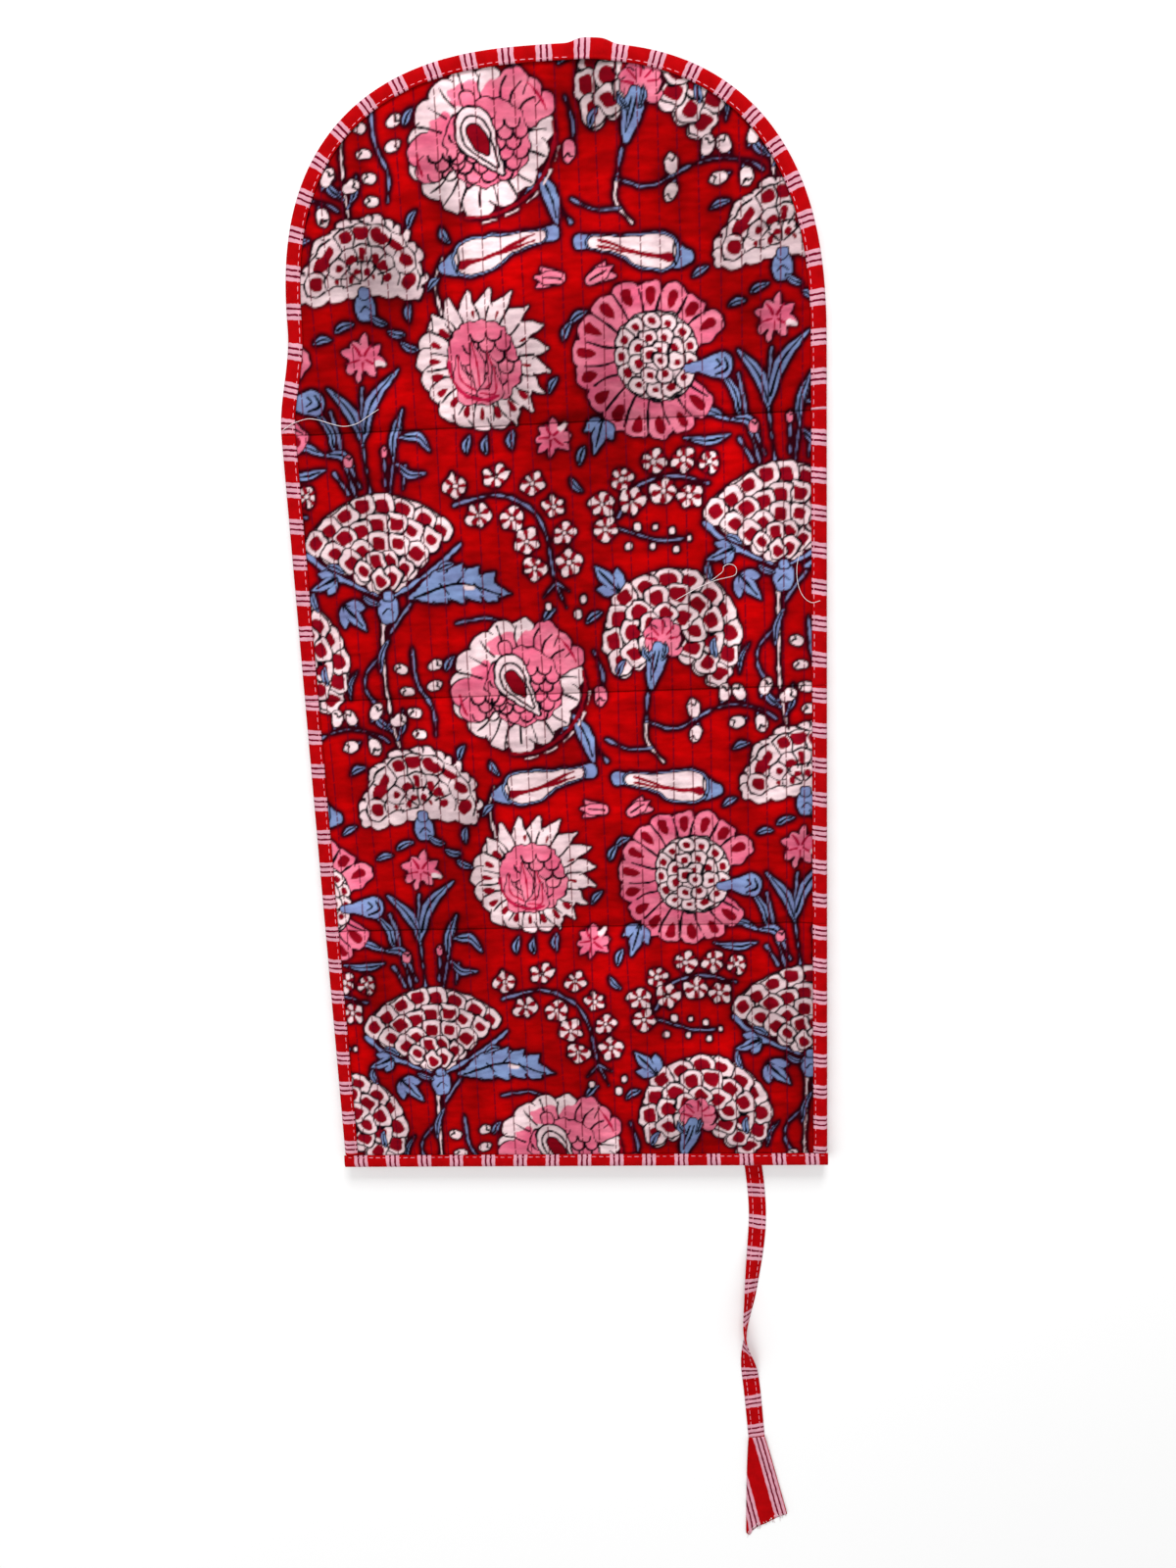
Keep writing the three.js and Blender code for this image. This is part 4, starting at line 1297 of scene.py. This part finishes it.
def arch_rail():
    """The flap's edge, from its seam on the left, over the arch, to its seam on the right."""
    angle = np.linspace(math.pi, 0, 1200)
    side = np.sign(np.cos(angle))
    across = np.abs(np.cos(angle)) ** (2 / ARCH_EXPONENT)
    up = np.abs(np.sin(angle)) ** (2 / ARCH_EXPONENT)
    arch = np.where(side > 0, RIGHT_ARCH_HEIGHT, LEFT_ARCH_HEIGHT)
    x = ARCH_PEAK + (side * HALF_WIDTH - ARCH_PEAK) * across
    y = TOP - arch * (1 - up)
    left_rise = np.linspace(FLAP_SEAM, y[0], 40)[:-1]
    x = np.concatenate((np.full(39, -HALF_WIDTH), x, (HALF_WIDTH,)))
    y = np.concatenate((left_rise, y, (FLAP_SEAM,)))
    line = np.stack((x + shoulder(x, y), y), 1)
    run = distance_along(line)
    even = np.linspace(0, run[-1], round(run[-1] / BINDING_STEP) + 1)
    points = np.stack([np.interp(even, run, line[:, k]) for k in range(2)], 1)
    ahead = np.gradient(points, axis=0)
    ahead /= np.linalg.norm(ahead, axis=1)[:, None]
    return points, np.stack((ahead[:, 1], -ahead[:, 0]), 1)


def add_binding(name, rail, begin, slant, seed):
    """A folded strip of striped cloth along part of the panel's edge, fuller where the tie is sewn in."""
    points, inward = rail
    run = distance_along(points)
    phase = np.random.default_rng(seed).uniform(0, 6.28, 4)
    inset, level = BINDING_SECTION.T
    drift = 0.22 * np.sin(run / 19 + phase[0]) + 0.14 * np.sin(run / 7.3 + phase[1])
    pull = 0.5 + 0.5 * np.cos(2 * math.pi * run / STITCH_PITCH)
    tip = np.exp(-((points[:, 0] - TACK_PLACE - 2.5) / 8) ** 4) * (points[:, 1] > TOP - 20)
    crest = (level > 8.4) & (inset > 3)
    height = level - crest * (0.1 * pull + 0.08 * np.sin(run / 3.1 + phase[2]))[:, None]
    height = height + (level > 6) * (0.9 * tip)[:, None]
    inner = inset * (1 + 0.03 * drift[:, None]) - (inset < 2) * (1.7 * tip)[:, None]
    rings = np.concatenate((points[:, None] + inward[:, None] * inner[..., None], height[..., None]), -1)
    vertices, quads, caps = loft(rings)
    strip = make_piece(name, vertices, quads, caps, STRIPED)
    lean = slant + 0.06 * np.sin(run / 40 + phase[3])
    note(strip, "run", ((run + begin)[:, None] + lean[:, None] * inset).ravel())
    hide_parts(name)
    strip.name = name + "_cloth"
    return strip


def edge_stitches(name, rails):
    """The row of stitches that holds the binding down, along each rail."""
    starts, ends = [], []
    for points, inward in rails:
        run = distance_along(points)
        for place in np.arange(1.2, run[-1] - 2.6, STITCH_PITCH):
            for along, into in ((place, starts), (place + STITCH_LENGTH, ends)):
                offset = read_along(along, run, inward) * (STITCH_LINE + 0.1 * math.sin(along / 9))
                into.append((*(read_along(along, run, points) + offset), STITCH_LEVEL))
    return stitches(name, starts, ends, (0, 0, 1))


# ---- underside: lining, pockets and zips -------------------------------------------------------
def add_lining(section):
    """A section's lining, kept above the slider's upper plate."""
    low, high = corners(section + "_lining")
    across, up = np.meshgrid(np.linspace(low[0], high[0], 120), np.linspace(low[1], high[1], 60))
    sag = 0.12 * pick(SWELLS, across, up, GRID) + 0.05 * np.cos(2 * math.pi * across / CHANNEL)
    under = np.clip(low[2] - 0.03 + sag, low[2] - 0.16, low[2] + 0.2)
    lining = slab(section + "_lining_cloth", across, up, under, high[2], LINED)
    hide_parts(section + "_lining")
    return lining


def add_flap_lining():
    """The flap has no pocket, so its lining is quilted along with it and shows the rows of stitches."""
    low, high = corners("flap_lining")
    y = np.linspace(low[1], TOP - 2.2, 110)
    left, right = side_edges(y, SIDE_INSET)
    t = np.linspace(0, 1, 130)[None, :]
    x = left[:, None] + (right - left)[:, None] * t
    up = np.broadcast_to(y[:, None], x.shape)
    dent = 0.35 * puffs(x) * smooth_step(edge_gap(x, up), 4, 14)
    under = np.maximum(low[2] - dent + 0.25 + 0.06 * pick(RIPPLES, x, up, GRID), 2.3)
    lining = slab("flap_lining_cloth", x, up, under, high[2], LINED)
    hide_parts("flap_lining")
    return lining


def add_pocket(section, edge):
    """One of a pocket's two cloths: its edge at the zip is hemmed and sewn, and its middle sags a little."""
    node = f"{section}_pocket_panel_{edge}"
    low, high = corners(node)
    rows = max(12, round((high[1] - low[1]) / 1.2))
    across, up = np.meshgrid(np.linspace(low[0], high[0], 110), np.linspace(low[1], high[1], rows))
    from_zip = up - low[1] if edge == "top" else high[1] - up
    from_edge = np.min([across - low[0], high[0] - across, up - low[1], high[1] - up], 0)
    slack = smooth_step(from_edge, 4, 30) * (0.35 + 0.25 * pick(SWELLS, across, up, GRID))
    hem = 0.35 * (1 - smooth_step(from_zip, HEM_WIDTH - 0.4, HEM_WIDTH + 0.4))
    pucker = 0.05 * np.cos(across * 2.4) * (1 - smooth_step(from_zip, 0, 12))
    under = low[2] - np.maximum(hem, slack) + pucker
    cloth_panel = slab(node + "_cloth", across, up, under, high[2], LINED)
    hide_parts(node)
    line = low[1] + 2.0 if edge == "top" else high[1] - 2.0
    starts = np.array([(place, line, low[2] - 0.36) for place in np.arange(low[0] + 2, high[0] - 4, 3.4)])
    sewn = stitches(node + "_stitches", starts, starts + (2.3, 0, 0), (0, 0, -1), 0.17)
    return [cloth_panel, sewn]


def add_tape(section, edge, way, zip_y):
    """One side's woven tape, ridged along its edge at the teeth."""
    node = f"{section}_zip_tape_{edge}"
    low, high = corners(node)
    profile = np.array((0, 0.5, 1.0, 1.5, 3.0, 5.0, 6.9))
    ridge = np.array((0.0, 0.12, 0.05, 0.14, 0.02, 0.02, 0.0))
    near = zip_y + way * TAPE_EDGE
    across, up = np.meshgrid(np.linspace(low[0], high[0], 160), near + way * profile)
    under = low[2] - ridge[:, None] * (0.8 + 0.2 * np.sin(across * 1.3))
    tape = slab(node + "_woven", across, up, under, high[2], TAPE)
    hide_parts(node)
    return tape


def add_coil(section, edge, way, zip_y):
    """A row of teeth, each a loop of the coil, that reach between the teeth of the facing row."""
    node = f"{section}_zip_coil_{edge}"
    low, high = corners(node)
    places = np.arange(low[0] + 0.8, high[0] - 0.8, TOOTH_PITCH) + (TOOTH_PITCH / 2 if way > 0 else 0)
    middle, half = (low[2] + high[2]) / 2, (high[2] - low[2]) / 2 - 0.04
    rings = []
    for into, thick in ((TOOTH_FAR, 0.6), (1.5, 0.92), (0.9, 0.85), (0.5, 1.0), (TOOTH_NEAR, 0.7)):
        for k in range(8):
            angle = 2 * math.pi * k / 8
            lean = 0.12 * (into - 1)
            rings.append(np.stack((places + lean + 0.44 * thick * math.cos(angle),
                                   np.full(len(places), zip_y + way * into),
                                   np.full(len(places), middle + half * thick * math.sin(angle))), 1))
    points, quads, caps = loft_each(np.stack(rings, 1), 8)
    teeth = make_piece(node + "_teeth", points, quads, caps, COIL)
    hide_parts(node)
    return teeth


def cad_finish(node, material):
    """Gives a CAD node, kept as it is, a better material."""
    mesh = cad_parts[node].data
    mesh.materials.clear()
    mesh.materials.append(material)


def add_underside():
    for section in ("lower", "middle", "upper"):
        zip_low, zip_high = corners(section + "_zip_stop_left")
        zip_y = (zip_low[1] + zip_high[1]) / 2
        soft = [add_lining(section)]
        for edge, way in (("top", 1), ("bottom", -1)):
            soft += add_pocket(section, edge)
            for piece in (add_tape(section, edge, way, zip_y), add_coil(section, edge, way, zip_y)):
                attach(piece, section + "_section")
        for piece in soft:
            follow(piece, section)
        for part in ("stop_left", "stop_right", "slider", "pull"):
            cad_finish(f"{section}_zip_{part}", METAL)
    follow(add_flap_lining(), "flap")


# ---- loose threads and the tie's sewn end --------------------------------------------------------
def wave_thread():
    """A thread that has slipped out of the upper seam and lies in a shallow wave at the left edge."""
    along = np.linspace(0, 1, 9)
    return np.stack((-118 + 43 * along, 105 + 3.0 * np.sin(2.2 * math.pi * along) + 5 * along), 1)


def loop_thread():
    """A thread end that comes up from the lower left and curls back on itself."""
    turn = np.radians(np.linspace(-60, 190, 6))
    curl = np.stack((77 + 3.2 * np.cos(turn), 36 + 2.8 * np.sin(turn)), 1)
    return np.vstack(((53, 24), (63, 29), (71, 32), curl, (69, 32)))


def hook_thread():
    """A bowed thread end that hangs over the right edge."""
    turn = np.radians(np.linspace(120, 290, 7))
    return np.stack((114 + 7.5 * np.cos(turn), 34 + 13.5 * np.sin(turn)), 1)


LOOSE_THREADS = (
    ("seam_thread", wave_thread(), "flap"),
    ("looped_thread", loop_thread(), "upper"),
    ("edge_thread", hook_thread(), "upper"),
)


def fine_thread(name, route):
    """A fine thread that lies on the quilt along a smooth route, and over the binding at the edge."""
    path = smooth_path(route, 90)
    level = relief(path[:, 0], path[:, 1]) + 0.3
    edge = smooth_step(edge_gap(path[:, 0], path[:, 1]), 6.0, 8.5)
    level = level * edge + 9.75 * (1 - edge)
    line = np.column_stack((path, np.convolve(np.pad(level, 3, "edge"), np.ones(7) / 7, "valid")))
    points, quads, caps = loft(tube(line, 0.13, 6))
    return make_piece(name, points, quads, caps, PALE_THREAD)


def add_tack():
    """The tie's sewn end: a small fold of its striped cloth with a bar of stitches across it."""
    low, high = corners("tie_tack")
    across, up = np.meshgrid(np.linspace(low[0] + 1.6, high[0] - 1.6, 14),
                             np.linspace(low[1] - 1.4, high[1] + 0.2, 12))
    bow = 0.25 * np.cos((across - across.mean()) * 0.5) * np.sin((up - up.min()) * 0.6)
    tack = slab("tie_fold", across, up, 0.12 + 0.1 * bow, 0.86 + 0.06 * bow, STRIPED)
    note(tack, "run", np.array([vertex.co[1] / MM for vertex in tack.data.vertices]))
    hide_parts("tie_tack")
    places = np.linspace(low[0] + 2.2, high[0] - 2.2, 9)
    starts = [(place, low[1] + 0.6, 0.14) for place in places]
    ends = [(place + 0.5, high[1] - 0.8, 0.14) for place in places]
    sewn = stitches("tie_fold_stitches", starts, ends, (0, 0, -1), 0.14)
    return [tack, sewn]


def add_loose_threads():
    for name, route, section in LOOSE_THREADS:
        follow(fine_thread(name, route), section)


# ---- stage -------------------------------------------------------------------------------------
FLOOR_HALF = 4.0
SKY_STRENGTH = 0.68


def add_floor():
    size = FLOOR_HALF
    mesh = bpy.data.meshes.new("floor")
    mesh.from_pydata([(-size, -size, 0), (size, -size, 0), (size, size, 0), (-size, size, 0)], [],
                     [(0, 1, 2, 3)])
    mesh.materials.append(pale_floor())
    floor = bpy.data.objects.new("floor", mesh)
    bpy.context.scene.collection.objects.link(floor)


def add_light(name, place, size, power):
    """A square lamp that faces the object's middle."""
    lamp = bpy.data.lights.new(name, "AREA")
    lamp.size = size
    lamp.energy = power
    light = bpy.data.objects.new(name, lamp)
    light.location = place
    light.rotation_euler = (-Vector(place)).to_track_quat("-Z", "Y").to_euler()
    bpy.context.scene.collection.objects.link(light)


def light_stage():
    world = bpy.data.worlds.new("studio")
    world.use_nodes = True
    background = world.node_tree.nodes["Background"].inputs
    background["Color"].default_value = (1, 1, 1, 1)
    background["Strength"].default_value = SKY_STRENGTH
    bpy.context.scene.world = world
    add_light("key", (0.15, 1.3, 0.9), 0.6, 20)
    add_light("fill", (-0.6, -0.5, 1.5), 1.2, 8)


# ---- assembly ----------------------------------------------------------------------------------
add_camera()
tie, tie_line, tie_side, tie_face = add_tie()
tie_tip, tie_frays = add_tie_end(tie_line)
tie_rows = add_tie_stitches(tie_line, tie_side, tie_face)

PANEL = panel_rows()
cloth = paint_print()
marks = PANEL[2]
quilts = {}
for index, section in enumerate(("lower", "middle", "upper", "flap")):
    quilts[section] = add_quilt(section, marks[index], marks[index + 1], cloth)
for section, quilt in quilts.items():
    follow(quilt, section)

straight = {
    "lower": (BOTTOM + BINDING_WIDTH + 0.4, LOWER_SEAM), "middle": (LOWER_SEAM, MIDDLE_SEAM),
    "upper": (MIDDLE_SEAM, FLAP_SEAM),
}
edges = {"flap": [add_binding("flap_binding", arch_rail(), 3, 0, 40)]}
rails = {"flap": [arch_rail()]}
for index, (section, (start, end)) in enumerate(straight.items()):
    left = binding_rail((-HALF_WIDTH, start), (-HALF_WIDTH, end))
    right = binding_rail((HALF_WIDTH, end), (HALF_WIDTH, start))
    edges[section] = [add_binding(section + "_binding_left", left, start + 8, 0.05, 41 + index),
                      add_binding(section + "_binding_right", right, -end + 2, 0.12, 51 + index)]
    rails[section] = [left, right]
bottom = binding_rail((HALF_WIDTH, BOTTOM), (-HALF_WIDTH, BOTTOM))
edges["lower"].append(add_binding("bottom_binding", bottom, 0, 0, 61))
rails["lower"].append(bottom)
for section, strips in edges.items():
    strips.append(edge_stitches(section + "_edge_stitches", rails[section]))
    for piece in strips:
        follow(piece, section)

add_underside()
for piece in add_tack():
    follow(piece, "flap")
add_loose_threads()

add_floor()
light_stage()
bpy.context.scene.view_settings.view_transform = "Standard"
